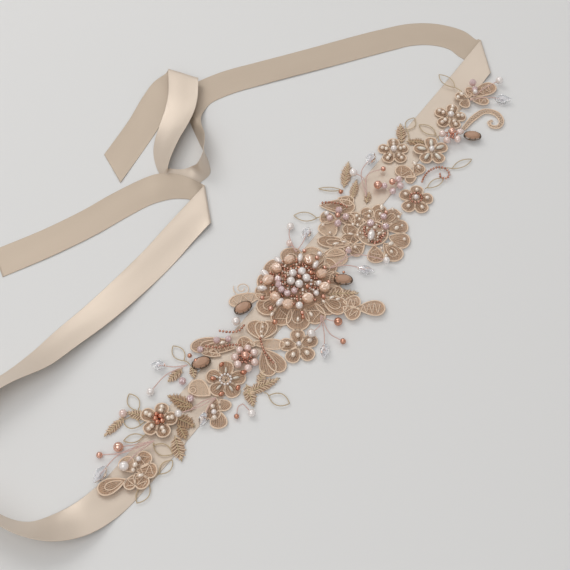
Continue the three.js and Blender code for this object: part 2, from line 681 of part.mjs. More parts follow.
// The scroll: a flat corded band that curls at its end
function scroll() {
  const route = [
    [139.8, 144.6], [149.2, 154.8], [159, 161], [168, 158.5], [171, 150.5], [167, 144], [161.5, 146],
  ].map(([x, y]) => new THREE.Vector3(x, y, LACE_LEVEL + LACE_RIM / 2));
  const half = 2.2;
  const extrudePath = new THREE.CatmullRomCurve3(route);
  const rings = [];
  const steps = 20;
  for (let i = 0; i <= steps; i += 1) {
    const at = extrudePath.getPoint(i / steps);
    const along = extrudePath.getTangent(i / steps);
    const side = new THREE.Vector3(-along.y, along.x, 0).normalize().multiplyScalar(half);
    const rise = new THREE.Vector3(0, 0, LACE_RIM / 2);
    rings.push([
      at.clone().sub(side).sub(rise),
      at.clone().add(side).sub(rise),
      at.clone().add(side).add(rise),
      at.clone().sub(side).add(rise),
    ]);
  }
  addMesh('lace_scroll', 'lace', ringSolid(rings));
}

// Wired sprigs: every wire starts at the root and ends in a bead
const SPRIGS = [
  { name: 'sprig_top', x: 9, y: 27, z: FLOWER_LEVEL + WIRE, tips: [
    { x: 4, y: 49, r: PEARL }, { x: 0, y: 35, r: 2.4 }, { x: 16, y: 43, r: 3.2, length: 10, turn: 60 },
  ] },
  { name: 'sprig_right', x: 34.5, y: 13, z: FLOWER_LEVEL + WIRE, tips: [
    { x: 73, y: 17.5, r: PEARL }, { x: 58, y: 11, r: 3.2, length: 10, turn: -10 },
  ] },
  { name: 'sprig_fore', x: 25, y: -27, z: FLOWER_LEVEL + WIRE, tips: [
    { x: 38, y: -33, r: 3.2 }, { x: 21, y: -43, z: 8, r: 3.2 },
    { x: 28, y: -56, r: 3.2, length: 11, turn: -95 }, { x: 40, y: -48, r: 2.1 },
  ] },
  { name: 'sprig_left', x: -66.5, y: -66.3, z: FLOWER_LEVEL + WIRE, tips: [
    { x: -87, y: -66, r: 3.2, length: 9, turn: 180 }, { x: -90, y: -86, r: PEARL },
  ] },
  { name: 'sprig_end_low', x: -96, y: -128, z: 5, tips: [
    { x: -109, y: -126, r: 3.2 }, { x: -121, y: -131, r: 2.1 },
    { x: -118, y: -143.5, z: 5, r: 3.6, length: 12, turn: 235 },
  ] },
  { name: 'sprig_copper', x: -27, y: -94.6, tips: [
    { x: -33, y: -104, r: 2 }, { x: -22.5, y: -103, r: 2.6 },
  ] },
  { name: 'sprig_mid', x: -54, y: -94, z: 4, tips: [
    { x: -69, y: -103, z: 7.5, r: PEARL }, { x: -55, y: -107, r: 3.2, length: 10, turn: -110 },
  ] },
  { name: 'sprig_upper', x: 61, y: 77, tips: [
    { x: 53, y: 97, z: 7, r: PEARL }, { x: 76, y: 103, r: 2 },
    { x: 64, y: 112, z: 5, r: 4.2, length: 10, turn: 60 },
  ] },
  { name: 'sprig_end_high', x: 153, y: 171, z: FLOWER_LEVEL + LACE_RIM + WIRE, tips: [
    { x: 173, y: 192, z: 5, r: PEARL }, { x: 173.5, y: 172.5, r: 3.4, length: 11, turn: 0 },
  ] },
];

// Height that a bead's underside rests at: on the front stretch, or on the table beside it
function restHeight(x, y, r) {
  const { x: startX, y: startY, heading } = FRONT_START;
  const across = (x - startX) * Math.sin(radians(heading)) - (y - startY) * Math.cos(radians(heading));
  return Math.abs(across) < RIBBON_WIDTH / 2 + r ? LACE_LEVEL : 0;
}

function sprig({ name, x, y, z = LACE_LEVEL + WIRE, tips }) {
  const root = new THREE.Vector3(x, y, z);
  const solids = [];
  tips.forEach((tip) => {
    const end = new THREE.Vector3(tip.x, tip.y, tip.z ?? restHeight(tip.x, tip.y, tip.r) + tip.r);
    const middle = root.clone().lerp(end, 0.5);
    middle.z = Math.max(root.z, end.z) + 0.6;
    solids.push(wire([root, middle, end]));
    solids.push(tip.length ? crystal({ ...tip, z: end.z }) : bead({ ...tip, z: end.z }));
  });
  solids.push(bead({ x, y, z, r: WIRE }));
  addMesh(name, 'wire', joined(solids));
}

// The row of copper and opal beads on the ribbon between the upper flowers
function beadRow() {
  const row = [
    { x: 70, y: 86, r: 3 }, { x: 76, y: 87, r: 2.2 }, { x: 81, y: 89, r: 2.1 },
    { x: 81.5, y: 83.5, r: 2.2 }, { x: 86, y: 91, r: 2.3 }, { x: 87, y: 86, r: 2.3 },
  ];
  const outline = leafOutline({ length: 24, width: 11, points: 5 });
  const base = plate(outline, { x: 78.5, y: 87, turn: 5, rim: LACE_THICK });
  const beads = row.map((b) => bead({ ...b, z: LACE_LEVEL + LACE_THICK + b.r - BEAD_SINK }));
  addMesh('bead_row', 'copper', joined([base, ...beads]));
}

ribbonStretches();
FLOWERS.forEach(flower);
middleFlower();
upperFlowers();
CLUSTERS.forEach(cluster);
STONES.forEach(stone);
LEAVES.forEach(({ name, length, width, scallops, ...place }) => {
  const colour = name.startsWith('leaf') ? 'leaf' : 'lace';
  addMesh(`lace_${name}`, colour, plate(leafOutline({ length, width, scallops }), place));
});
SPRAYS.forEach(spray);
scroll();
SPRIGS.forEach(sprig);
beadRow();

export default group;
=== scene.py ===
# A satin sash with a beaded lace applique, laid on a pale table.
# Tables are in millimetres, in the layout's own coordinates: X to the right, Y away, Z up from the table.
import math

import bpy
import numpy as np
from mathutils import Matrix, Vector


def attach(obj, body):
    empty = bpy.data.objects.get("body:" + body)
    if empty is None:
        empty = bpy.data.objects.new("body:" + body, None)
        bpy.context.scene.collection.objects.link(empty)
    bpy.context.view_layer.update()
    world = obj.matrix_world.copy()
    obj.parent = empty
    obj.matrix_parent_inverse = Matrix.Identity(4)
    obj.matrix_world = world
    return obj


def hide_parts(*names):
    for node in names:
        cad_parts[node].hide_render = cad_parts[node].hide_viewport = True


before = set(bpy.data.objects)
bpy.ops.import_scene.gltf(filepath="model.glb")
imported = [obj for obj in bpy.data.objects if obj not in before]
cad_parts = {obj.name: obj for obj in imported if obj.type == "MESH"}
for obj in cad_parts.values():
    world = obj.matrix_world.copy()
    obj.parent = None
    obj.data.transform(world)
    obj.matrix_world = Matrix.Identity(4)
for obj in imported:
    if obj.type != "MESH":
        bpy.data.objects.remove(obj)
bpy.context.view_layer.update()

MM = 0.001
MIDDLE = np.array([-24.2, 34.0, 0.0])
rng = np.random.default_rng(7)

# Camera: where the photograph was taken from
CAMERA_RISE = math.radians(58)
CAMERA_DISTANCE = 750.0
CAMERA_LENS = 66.3
CAMERA_SENSOR = 36

# Table, in metres
TABLE_SIZE = 6
TABLE_DROP = 0.00002

# Levels above the table
LACE = 0.9
FLOWER = 2.4
DOME = 3.8

# Cloth and thread sizes
RIBBON_WIDTH = 25.0
RIBBON_SOLID = 1.0
RIBBON_THICK = 0.34
RIBBON_STEP = 1.6
RIBBON_SINK = 0.42
WAVE_SHARE = 0.45
CORD = 0.52
FILL = 0.24
STITCH = 0.42
OPEN_THREAD = 0.34
WIRE_STRAND = 0.23
WIRE_PITCH = 2.0
SEED = 1.08
SEED_GAP = 1.08
RING_SEED = 1.05
SPIRAL_CORD = 0.36
SPIRAL_TURNS = 1.6
ZIGZAG_CORD = 0.36
OVAL_CORD = 0.6
CLAW = 0.5

# Heights of a petal's rim and inner cord, and how far its net reaches past its rim
RIM_HEIGHT = 0.75
INNER_HEIGHT = 0.6
NET_REACH = [1.03, 1.08]

# Brown stones and folds of the ribbon
STONE_LENGTH = 14.0
STONE_WIDTH = 9.0
FOLD_STEPS = 8


def linear(r, g, b):
    """A colour named by its 0 to 255 screen values, as Blender wants it."""
    parts = [c / 255 for c in (r, g, b)]
    return tuple(c / 12.92 if c <= 0.04045 else ((c + 0.055) / 1.055) ** 2.4 for c in parts) + (1.0,)


# Materials
def material(name, colour, rough, **inputs):
    made = bpy.data.materials.new(name)
    made.use_nodes = True
    shader = made.node_tree.nodes["Principled BSDF"]
    shader.inputs["Base Color"].default_value = linear(*colour)
    shader.inputs["Roughness"].default_value = rough
    for key, value in inputs.items():
        shader.inputs[key.replace("_", " ")].default_value = value
    return made


def node(made, kind, **values):
    new = made.node_tree.nodes.new(kind)
    for key, value in values.items():
        setattr(new, key, value)
    return new


def join(made, source, target):
    made.node_tree.links.new(source, target)


def shade_by(made, colour, texture, amount=1.0):
    """The base colour goes towards another colour by a texture's value."""
    shader = made.node_tree.nodes["Principled BSDF"]
    mix = node(made, "ShaderNodeMix", data_type="RGBA")
    mix.inputs[6].default_value = shader.inputs["Base Color"].default_value
    mix.inputs[7].default_value = linear(*colour)
    spread = node(made, "ShaderNodeMapRange")
    spread.inputs["To Max"].default_value = amount
    join(made, texture, spread.inputs["Value"])
    join(made, spread.outputs["Result"], mix.inputs[0])
    join(made, mix.outputs[2], shader.inputs["Base Color"])


def bump(made, height, strength, distance):
    shader = made.node_tree.nodes["Principled BSDF"]
    new = node(made, "ShaderNodeBump")
    new.inputs["Strength"].default_value = strength
    new.inputs["Distance"].default_value = distance
    join(made, height, new.inputs["Height"])
    join(made, new.outputs["Normal"], shader.inputs["Normal"])


def noise(made, scale, detail=2.0, stretch=(1, 1, 1), coordinates="Object"):
    place = node(made, "ShaderNodeTexCoord")
    mapping = node(made, "ShaderNodeMapping")
    mapping.inputs["Scale"].default_value = stretch
    texture = node(made, "ShaderNodeTexNoise")
    texture.inputs["Scale"].default_value = scale
    texture.inputs["Detail"].default_value = detail
    join(made, place.outputs[coordinates], mapping.inputs["Vector"])
    join(made, mapping.outputs["Vector"], texture.inputs["Vector"])
    return texture.outputs["Fac"]


def satin_material():
    made = material("satin", (216, 200, 183), 0.42, Metallic=0.3, Specular_IOR_Level=0.7, Anisotropic=0.2,
                    Coat_Weight=0.1, Coat_Roughness=0.3)
    shade_by(made, (204, 188, 170), noise(made, 1.0, 3, (0.06, 0.012, 1), "UV"), 0.5)
    bump(made, noise(made, 1.0, 1, (0.5, 9, 1), "UV"), 0.12, 0.00004)
    return made


def reverse_material():
    made = material("satin reverse", (199, 182, 163), 0.5, Metallic=0.2, Specular_IOR_Level=0.5)
    shade_by(made, (188, 170, 150), noise(made, 1.0, 3, (0.05, 0.02, 1), "UV"), 0.5)
    bump(made, noise(made, 1.0, 1, (6, 3, 1), "UV"), 0.2, 0.00005)
    return made


def net_material(name, colour, other, hole, cell=0.0011):
    """Fine net: a mesh of cells with open middles, over a thin fill."""
    made = material(name, colour, 0.85, Sheen_Weight=0.2)
    shade_by(made, other, noise(made, 420.0, 3))
    place = node(made, "ShaderNodeTexCoord")
    cells = node(made, "ShaderNodeTexVoronoi", feature="DISTANCE_TO_EDGE")
    cells.inputs["Scale"].default_value = 1 / cell
    cells.inputs["Randomness"].default_value = 0.35
    join(made, place.outputs["Object"], cells.inputs["Vector"])
    edge = node(made, "ShaderNodeMapRange")
    for key, value in (("From Min", 0.10), ("From Max", 0.22), ("To Min", 1.0), ("To Max", 1.0 - hole)):
        edge.inputs[key].default_value = value
    join(made, cells.outputs["Distance"], edge.inputs["Value"])
    join(made, edge.outputs["Result"], made.node_tree.nodes["Principled BSDF"].inputs["Alpha"])
    return made


def cord_material(name, colour, dark, wrap=2.6):
    """Thread wound round a core: fine bands along the piece."""
    made = material(name, colour, 0.6, Sheen_Weight=0.35)
    along = node(made, "ShaderNodeAttribute", attribute_name="along")
    turns = node(made, "ShaderNodeMath", operation="MULTIPLY")
    turns.inputs[1].default_value = 2 * math.pi * wrap
    wave = node(made, "ShaderNodeMath", operation="SINE")
    join(made, along.outputs["Fac"], turns.inputs[0])
    join(made, turns.outputs[0], wave.inputs[0])
    shade_by(made, dark, noise(made, 700.0, 2), 0.8)
    bump(made, wave.outputs[0], 0.35, 0.00012)
    return made


def bead_material(name, colour, dark, rough, amount, **inputs):
    """A bead whose tone differs a little from one to the next."""
    made = material(name, colour, rough, **inputs)
    tone = node(made, "ShaderNodeAttribute", attribute_name="tone")
    shade_by(made, dark, tone.outputs["Fac"], amount)
    return made


GLOSS = dict(Coat_Weight=1.0, Coat_IOR=2.2)
MATERIALS = {
    "satin": satin_material(),
    "reverse": reverse_material(),
    "net": net_material("lace net", (206, 172, 144), (172, 138, 110), 0.5),
    "sheer": net_material("sheer net", (224, 198, 172), (208, 178, 150), 0.7, 0.0009),
    "cord": cord_material("gimp cord", (246, 222, 197), (228, 199, 171)),
    "fill": cord_material("fill thread", (232, 203, 175), (204, 172, 143), 3.0),
    "stitch": cord_material("leaf stitches", (240, 214, 184), (216, 186, 154), 1.2),
    "brown": cord_material("dark leaf stitches", (212, 178, 140), (178, 142, 106), 1.2),
    "open": cord_material("thread loops", (206, 184, 146), (178, 152, 114), 1.6),
    "wire": cord_material("twisted wire", (236, 206, 196), (206, 164, 152), 0.9),
    "pearl": bead_material("pearl", (243, 233, 227), (230, 217, 208), 0.12, 0.8, IOR=2.2, **GLOSS),
    "small": bead_material("small pearl", (246, 229, 209), (230, 206, 183), 0.14, 0.9, IOR=2.2, **GLOSS),
    "peach": bead_material("peach bead", (246, 208, 178), (233, 189, 158), 0.14, 0.9, IOR=2.1, **GLOSS),
    "pink": bead_material("blush pearl", (238, 210, 198), (224, 188, 174), 0.13, 0.8, IOR=2.1, **GLOSS),
    "opal": bead_material("opal bead", (222, 190, 186), (200, 164, 166), 0.14, 0.8, IOR=1.8, **GLOSS),
    "rose": bead_material("rose gold bead", (244, 200, 182), (230, 172, 150), 0.17, 0.8, Metallic=0.95),
    "copper": bead_material("copper bead", (228, 172, 146), (204, 140, 114), 0.18, 0.9, Metallic=0.95),
    "seed": bead_material("copper seed bead", (232, 184, 164), (198, 140, 118), 0.24, 1.0, Metallic=0.9),
    "bugle": bead_material("glass tube", (226, 218, 204), (206, 196, 178), 0.1, 0.6, IOR=1.8,
                           Coat_Weight=0.8),
    "crystal": material("cut crystal", (248, 247, 250), 0.03, Transmission_Weight=0.85, IOR=1.5),
    "stone": bead_material("brown stone", (190, 151, 124), (158, 120, 96), 0.4, 0.7, Coat_Weight=0.2),
    "setting": material("stone setting", (132, 112, 94), 0.42, Metallic=0.75),
}


# Mesh gathering
class Batch:
    """Points and faces of many small things, which become one mesh."""

    def __init__(self):
        self.points, self.faces, self.kinds, self.smooth = [], [], [], []
        self.tone, self.along, self.uv = [], [], []
        self.count = 0

    def add(self, points, faces, kind, smooth=True, tone=None, along=None, uv=None):
        points = np.asarray(points, float)
        size = len(points)
        self.points.append(points)
        parts = faces if isinstance(faces, list) else [faces]
        kinds = kind if isinstance(kind, list) else [kind] * len(parts)
        for part, part_kind in zip(parts, kinds):
            self.faces.append(np.asarray(part, int) + self.count)
            self.kinds += [part_kind] * len(part)
            self.smooth.append(np.full(len(part), smooth))
        self.tone.append(np.full(size, rng.random() if tone is None else tone))
        self.along.append(np.zeros(size) if along is None else along)
        self.uv.append(np.zeros((size, 2)) if uv is None else uv)
        self.count += size


batches = {}


def batch(piece):
    return batches.setdefault(piece, Batch())


def faces_of(*corners):
    """Faces from the indexes of their first corners, second corners and so on."""
    return np.stack([np.ravel(corner) for corner in corners], 1)


def unit(rows):
    return rows / np.maximum(np.linalg.norm(rows, axis=1, keepdims=True), 1e-9)


def travelled(path):
    """Way along a path at each of its points."""
    return np.concatenate([[0], np.cumsum(np.linalg.norm(np.diff(path, axis=0), axis=1))])


def toward(angle):
    return math.cos(math.radians(angle)), math.sin(math.radians(angle))


def circle(count, wide, high=None):
    """Points round a circle or an ellipse."""
    angle = np.linspace(0, 2 * np.pi, count, endpoint=False)
    return np.stack([wide * np.cos(angle), (high or wide) * np.sin(angle)], 1)


def raised(points, height):
    """Flat points at a height."""
    return np.hstack([points, np.full((len(points), 1), height)])


def with_ends(points):
    """Points with one more before the first and after the last, straight on."""
    return np.vstack([2 * points[0] - points[1], points, 2 * points[-1] - points[-2]])


def curve(points, step):
    """Points about one step apart along a centripetal Catmull-Rom curve."""
    points = with_ends(np.asarray(points, float))
    made = []
    for i in range(1, len(points) - 2):
        parts = max(1, int(round(np.linalg.norm(points[i + 1] - points[i]) / step)))
        made.append(span(*points[i - 1:i + 3], np.arange(parts) / parts))
    return np.vstack([*made, points[-2:-1]])


def span(p0, p1, p2, p3, at):
    """One span of the curve, at shares of its way."""
    gaps = [max(np.linalg.norm(b - a) ** 0.5, 1e-3) for a, b in ((p0, p1), (p1, p2), (p2, p3))]
    start = ((p1 - p0) / gaps[0] - (p2 - p0) / (gaps[0] + gaps[1]) + (p2 - p1) / gaps[1]) * gaps[1]
    end = ((p2 - p1) / gaps[1] - (p3 - p1) / (gaps[1] + gaps[2]) + (p3 - p2) / gaps[2]) * gaps[1]
    at = at[:, None]
    return (p1 + start * at + (3 * (p2 - p1) - 2 * start - end) * at**2
            + (2 * (p1 - p2) + start + end) * at**3)


def tube(piece, kind, path, radius, sides=5, closed=False):
    """A round thread along a path."""
    path = np.asarray(path, float)
    count = len(path)
    if closed:
        forward = unit(np.roll(path, -1, 0) - np.roll(path, 1, 0))
    else:
        forward = unit(np.gradient(path, axis=0))
    side = unit(np.cross(forward, [0, 0, 1.0]) + [1e-6, 0, 0])
    up = np.cross(side, forward)
    around = 2 * np.pi * np.arange(sides) / sides
    ring = np.cos(around)[None, :, None] * side[:, None] + np.sin(around)[None, :, None] * up[:, None]
    at = np.arange(count * sides).reshape(count, sides)
    rows = count if closed else count - 1
    near, far = at[:rows], np.roll(at, -1, 0)[:rows]
    faces = [faces_of(near, np.roll(near, -1, 1), np.roll(far, -1, 1), far)[:, ::-1]]
    if not closed:
        faces += [at[:1], at[-1:, ::-1]]
    batch(piece).add((path[:, None] + radius * ring).reshape(-1, 3), faces, kind,
                     along=np.repeat(travelled(path), sides))


def globe(rows, around):
    """A unit ball's points and faces."""
    points = [[0, 0, 1.0]]
    for r in range(1, rows):
        tilt = math.pi * r / rows
        for a in range(around):
            turn = 2 * math.pi * (a + 0.5 * (r % 2)) / around
            points.append([math.sin(tilt) * math.cos(turn), math.sin(tilt) * math.sin(turn), math.cos(tilt)])
    points.append([0, 0, -1.0])
    faces = []
    last = len(points) - 1
    for a in range(around):
        b = (a + 1) % around
        faces.append([0, 1 + a, 1 + b])
        faces.append([last, last - around + b, last - around + a])
    for r in range(rows - 2):
        for a in range(around):
            b = (a + 1) % around
            lo, hi = 1 + r * around, 1 + (r + 1) * around
            if r % 2:
                faces += [[lo + a, hi + a, hi + b], [lo + a, hi + b, lo + b]]
            else:
                faces += [[lo + a, hi + a, lo + b], [lo + b, hi + a, hi + b]]
    return np.array(points), np.array(faces)


BALLS = {"large": globe(10, 16), "small": globe(6, 10), "seed": globe(4, 7)}


def turned(points, turn, tilt=0.0):
    """Points tilted up about Y and then turned about Z, in degrees."""
    t, z = math.radians(tilt), math.radians(turn)
    lift = np.array([[math.cos(t), 0, -math.sin(t)], [0, 1, 0], [math.sin(t), 0, math.cos(t)]])
    spin = np.array([[math.cos(z), -math.sin(z), 0], [math.sin(z), math.cos(z), 0], [0, 0, 1]])
    return points @ (spin @ lift).T


def ball(piece, kind, x, y, z, r, stretch=1.0, turn=0.0, form=None):
    form = form or ("large" if r > 2.2 else "small" if r > 1.2 else "seed")
    points, faces = BALLS[form]
    batch(piece).add(turned(points * [r * stretch, r, r], turn) + [x, y, z], faces, kind)


def cut_bead(piece, kind, x, y, z, r, flat=0.82):
    """A faceted bead with its hole lying level."""
    points, faces = BALLS["small"]
    points = turned(points[:, [2, 0, 1]] * [r * flat, r, r], rng.uniform(0, 180), rng.uniform(-15, 15))
    batch(piece).add(points + [x, y, z], faces, kind, smooth=False)


def drop(piece, x, y, z, r, length, turn):
    """A cut crystal drop: facets that widen from its narrow end and close at the other."""
    profile = [(-0.5, 0.18), (-0.42, 0.5), (-0.1, 1.0), (0.12, 0.92), (0.5, 0.16)]
    sides = 8
    rings = []
    for i, (along, wide) in enumerate(profile):
        angle = 2 * np.pi * (np.arange(sides) + 0.5 * (i % 2)) / sides
        rings.append(np.stack([np.full(sides, along * length), r * wide * np.cos(angle),
                               r * wide * np.sin(angle)], 1))
    points = turned(np.vstack(rings), turn) + [x, y, z]
    at = np.arange(len(points)).reshape(-1, sides)
    faces = []
    for i in range(len(profile) - 1):
        for a in range(sides):
            b = (a + 1) % sides
            lo_a, lo_b, hi_a, hi_b = at[i, a], at[i, b], at[i + 1, a], at[i + 1, b]
            if i % 2:
                faces += [[lo_a, hi_b, hi_a], [lo_a, lo_b, hi_b]]
            else:
                faces += [[lo_a, lo_b, hi_a], [lo_b, hi_b, hi_a]]
    batch(piece).add(points, [np.array(faces)[:, ::-1], at[:1], at[-1:, ::-1]], "crystal", smooth=False)


def seeds(route, z):
    """A strand of seed beads along a route."""
    path = curve([(x, y, z) for x, y in route], 0.2)
    run = travelled(path)
    for far in np.arange(0, run[-1], 2 * SEED * SEED_GAP):
        x, y, height = [np.interp(far, run, path[:, k]) for k in range(3)]
        rise = rng.uniform(-0.12, 0.12)
        ball("copper_beads", "seed", x, y, height + rise, SEED, 0.85, rng.uniform(0, 180), "seed")


def twisted(route):
    """Two wires twisted together along a route."""
    path = curve(route, 0.45)
    forward = unit(np.gradient(path, axis=0))
    side = unit(np.cross(forward, [0, 0, 1.0]))
    up = np.cross(side, forward)
    for phase in (0, math.pi):
        angle = (2 * math.pi * travelled(path) / WIRE_PITCH + phase)[:, None]
        aside = np.cos(angle) * side + np.sin(angle) * up
        tube("wires", "wire", path + WIRE_STRAND * aside, WIRE_STRAND, 4)


# Petals and leaves
def outline(length, width, form="petal", count=32):
    """Points round a petal, leaf or stone that starts at its foot and runs along X."""
    angle = 2 * np.pi * np.arange(count) / count
    sine = np.sin(angle)
    if form == "petal":
        y = width / 1.54 * sine * np.sin(angle / 2)
    elif form == "stone":
        y = width / 2 * np.sign(sine) * np.abs(sine) ** 0.9
    else:
        y = width / 2 * sine * np.abs(sine) ** 0.9
    return np.stack([length * (1 - np.cos(angle)) / 2, y], 1)


def place(points, x, y, z, turn):
    points = np.asarray(points, float)
    if points.shape[1] == 2:
        points = raised(points, 0)
    return turned(points, turn) + [x, y, z]


def ground(piece, rim, kind, x, y, z, turn, cup=0.5):
    """The net inside a rim, a little cupped."""
    middle = rim.mean(0)
    rings = ((0.3, 0.0), (0.6, cup * 0.2), (0.85, cup * 0.6), (1.0, cup))
    rows = [raised(middle + (rim - middle) * share, high) for share, high in rings]
    at = 1 + np.arange(4 * len(rim)).reshape(4, -1)
    after = np.roll(at, -1, 1)
    faces = [faces_of(np.zeros(len(rim), int), at[0], after[0])]
    faces += [faces_of(at[r], at[r + 1], after[r + 1], after[r]) for r in range(3)]
    batch(piece).add(place(np.vstack([[[*middle, 0.0]], *rows]), x, y, z, turn), faces, kind)


def thread(motif, kind, path, at, thick, sides=5, closed=False):
    """A cord or thread of a motif, placed with it."""
    tube(motif + "_cord", kind, place(path, *at), thick, sides, closed)


def petal(motif, x, y, z, length, width, turn, look=(), waves=0, fills=7):
    """A corded lace petal: net, a cord round it, a loop or a squiggle of cord inside, and fill threads."""
    at = (x, y, z, turn)
    rim = outline(length, width)
    ground(motif + "_net", rim * NET_REACH, "sheer" if "sheer" in look else "net", x, y, z + 0.15, turn)
    thread(motif, "cord", raised(rim, RIM_HEIGHT), at, CORD, 6, closed=True)
    if "looped" in look:
        small = outline(length * 0.62, width * 0.5, count=20) + [length * 0.14, 0]
        thread(motif, "cord", raised(small, INNER_HEIGHT), at, CORD * 0.75, closed=True)
    if waves:
        far = np.linspace(0.12, 0.86, 8 * waves)
        wide = width * np.interp(far, [0, 0.3, 0.67, 0.9, 1], [0.1, 0.24, 0.36, 0.24, 0.1])
        line = np.stack([length * far, wide * np.sin(2 * np.pi * waves * far)], 1)
        thread(motif, "cord", raised(line, INNER_HEIGHT), at, CORD * 0.6)
    if "sheer" in look:
        return
    for lean in np.linspace(-1, 1, fills):
        far = length * (0.95 - 0.24 * abs(lean))
        bend = width * 0.4 * lean
        line = [[length * 0.12, bend * 0.1, 0.35], [far * 0.55, bend * 0.85, 0.45], [far, bend, 0.5]]
        thread(motif, "fill", curve(line, length / 6), at, FILL, 3)


def spiral(motif, x, y, radius, turn):
    """A cord that curls in."""
    angle = np.linspace(0, 2 * np.pi * SPIRAL_TURNS, int(18 * SPIRAL_TURNS))
    reach = radius * (1 - 0.8 * angle / angle[-1])
    line = np.stack([reach * np.cos(angle), reach * np.sin(angle)], 1)
    thread(motif, "cord", raised(line, 0.7), (x, y, LACE, turn), SPIRAL_CORD)


def stitched(motif, x, y, length, width, turn, rows, kind="stitch"):
    """An embroidered leaf: slanting stitches on both sides of a vein."""
    at = (x, y, LACE, turn)
    rim = outline(length * 0.97, width * 0.85, "leaf", 24)
    ground(motif + "_cord", rim, "net", x, y, LACE + 0.1, turn, 0.2)
    for side in (-1, 1):
        for k in range(rows):
            start = (k + 0.3 + 0.4 * rng.random()) / rows * 0.88
            reach = min(0.99, start + 0.13)
            tooth = 1 - 0.35 * (k % 2) * rng.random()
            wide = width / 2 * math.sin(math.pi * min(0.97, reach)) ** 0.6 * tooth
            foot = [length * start, 0, 0.75]
            tip = [length * reach, side * wide, 0.35 + rng.uniform(0, 0.2)]
            middle = [(foot[0] + tip[0]) / 2 + 0.3, tip[1] / 2, 0.95]
            thread(motif, kind, [foot, middle, tip], at, STITCH * rng.uniform(0.85, 1.15), 4)
    vein = [[-0.5, 0, 0.7], [length * 0.5, 0, 1.0], [length * 1.02, 0, 0.5]]
    thread(motif, "open", curve(vein, length / 8), at, STITCH)


def open_leaf(motif, x, y, z, length, width, turn, hub_x, hub_y):
    """A loop of thread with nothing inside, on a stem."""
    rim = raised(outline(length, width, "leaf", 24) - [length / 2, 0], 0.4)
    rim[:, 2] += 0.5 * np.abs(rim[:, 1]) / width
    thread(motif, "open", rim, (x, y, z, turn), OPEN_THREAD, closed=True)
    foot = place([[-length / 2, 0, 0.4]], x, y, z, turn)[0]
    hub = np.array([hub_x, hub_y, z + 0.4])
    tube(motif + "_cord", "open", curve([foot, (foot + hub) / 2 + [0.4, 0.6, 0.3], hub], 1.2), OPEN_THREAD)


# Five-petalled flowers.
# Columns: name, x, y, level, reach, turn, bead, its places along a petal, its size and its stretch
FLOWERS = [
    ("low", -83, -107, FLOWER, 12.5, 8, "small", (0.52, 0.74), 1.75, 1),
    ("bugle", -40, -77, LACE, 14, 15, "bugle", (0.52,), 1.0, 3),
    ("fore", 9.5, -50.5, LACE, 13.4, 25, "small", (0.6,), 1.8, 1.2),
    ("pearl", 84, 121, LACE, 12.5, 18, "small", (0.48, 0.74), 1.6, 1),
    ("seed", 98, 74.5, LACE, 13.5, 8, "small", (0.66,), 1.5, 1.3),
    ("tube", 113, 120, FLOWER, 13, 20, "bugle", (0.56,), 1.5, 2.5),
    ("high", 131, 156, LACE, 12.5, 5, "small", (0.5, 0.76), 1.75, 1),
]


def flower(name, x, y, z, r, turn, bead, shares, size, stretch):
    motif = "lace_flower_" + name
    thread(motif, "cord", raised(circle(16, 2.6), 0.8), (x, y, z, 0), CORD * 0.8, closed=True)
    ground(motif + "_net", circle(16, 0.62 * r), "net", x, y, z, 0, 0.1)
    for k in range(5):
        angle = turn + 72 * k + rng.uniform(-5, 5)
        long = r * rng.uniform(0.94, 1.05)
        petal(motif, x, y, z, long, r * 0.72, angle, fills=6)
        right, away = toward(angle)
        for share in shares:
            ball("glass" if bead == "bugle" else "pearls", bead, x + long * share * right,
                 y + long * share * away, z + 0.5 + size, size, stretch, angle)


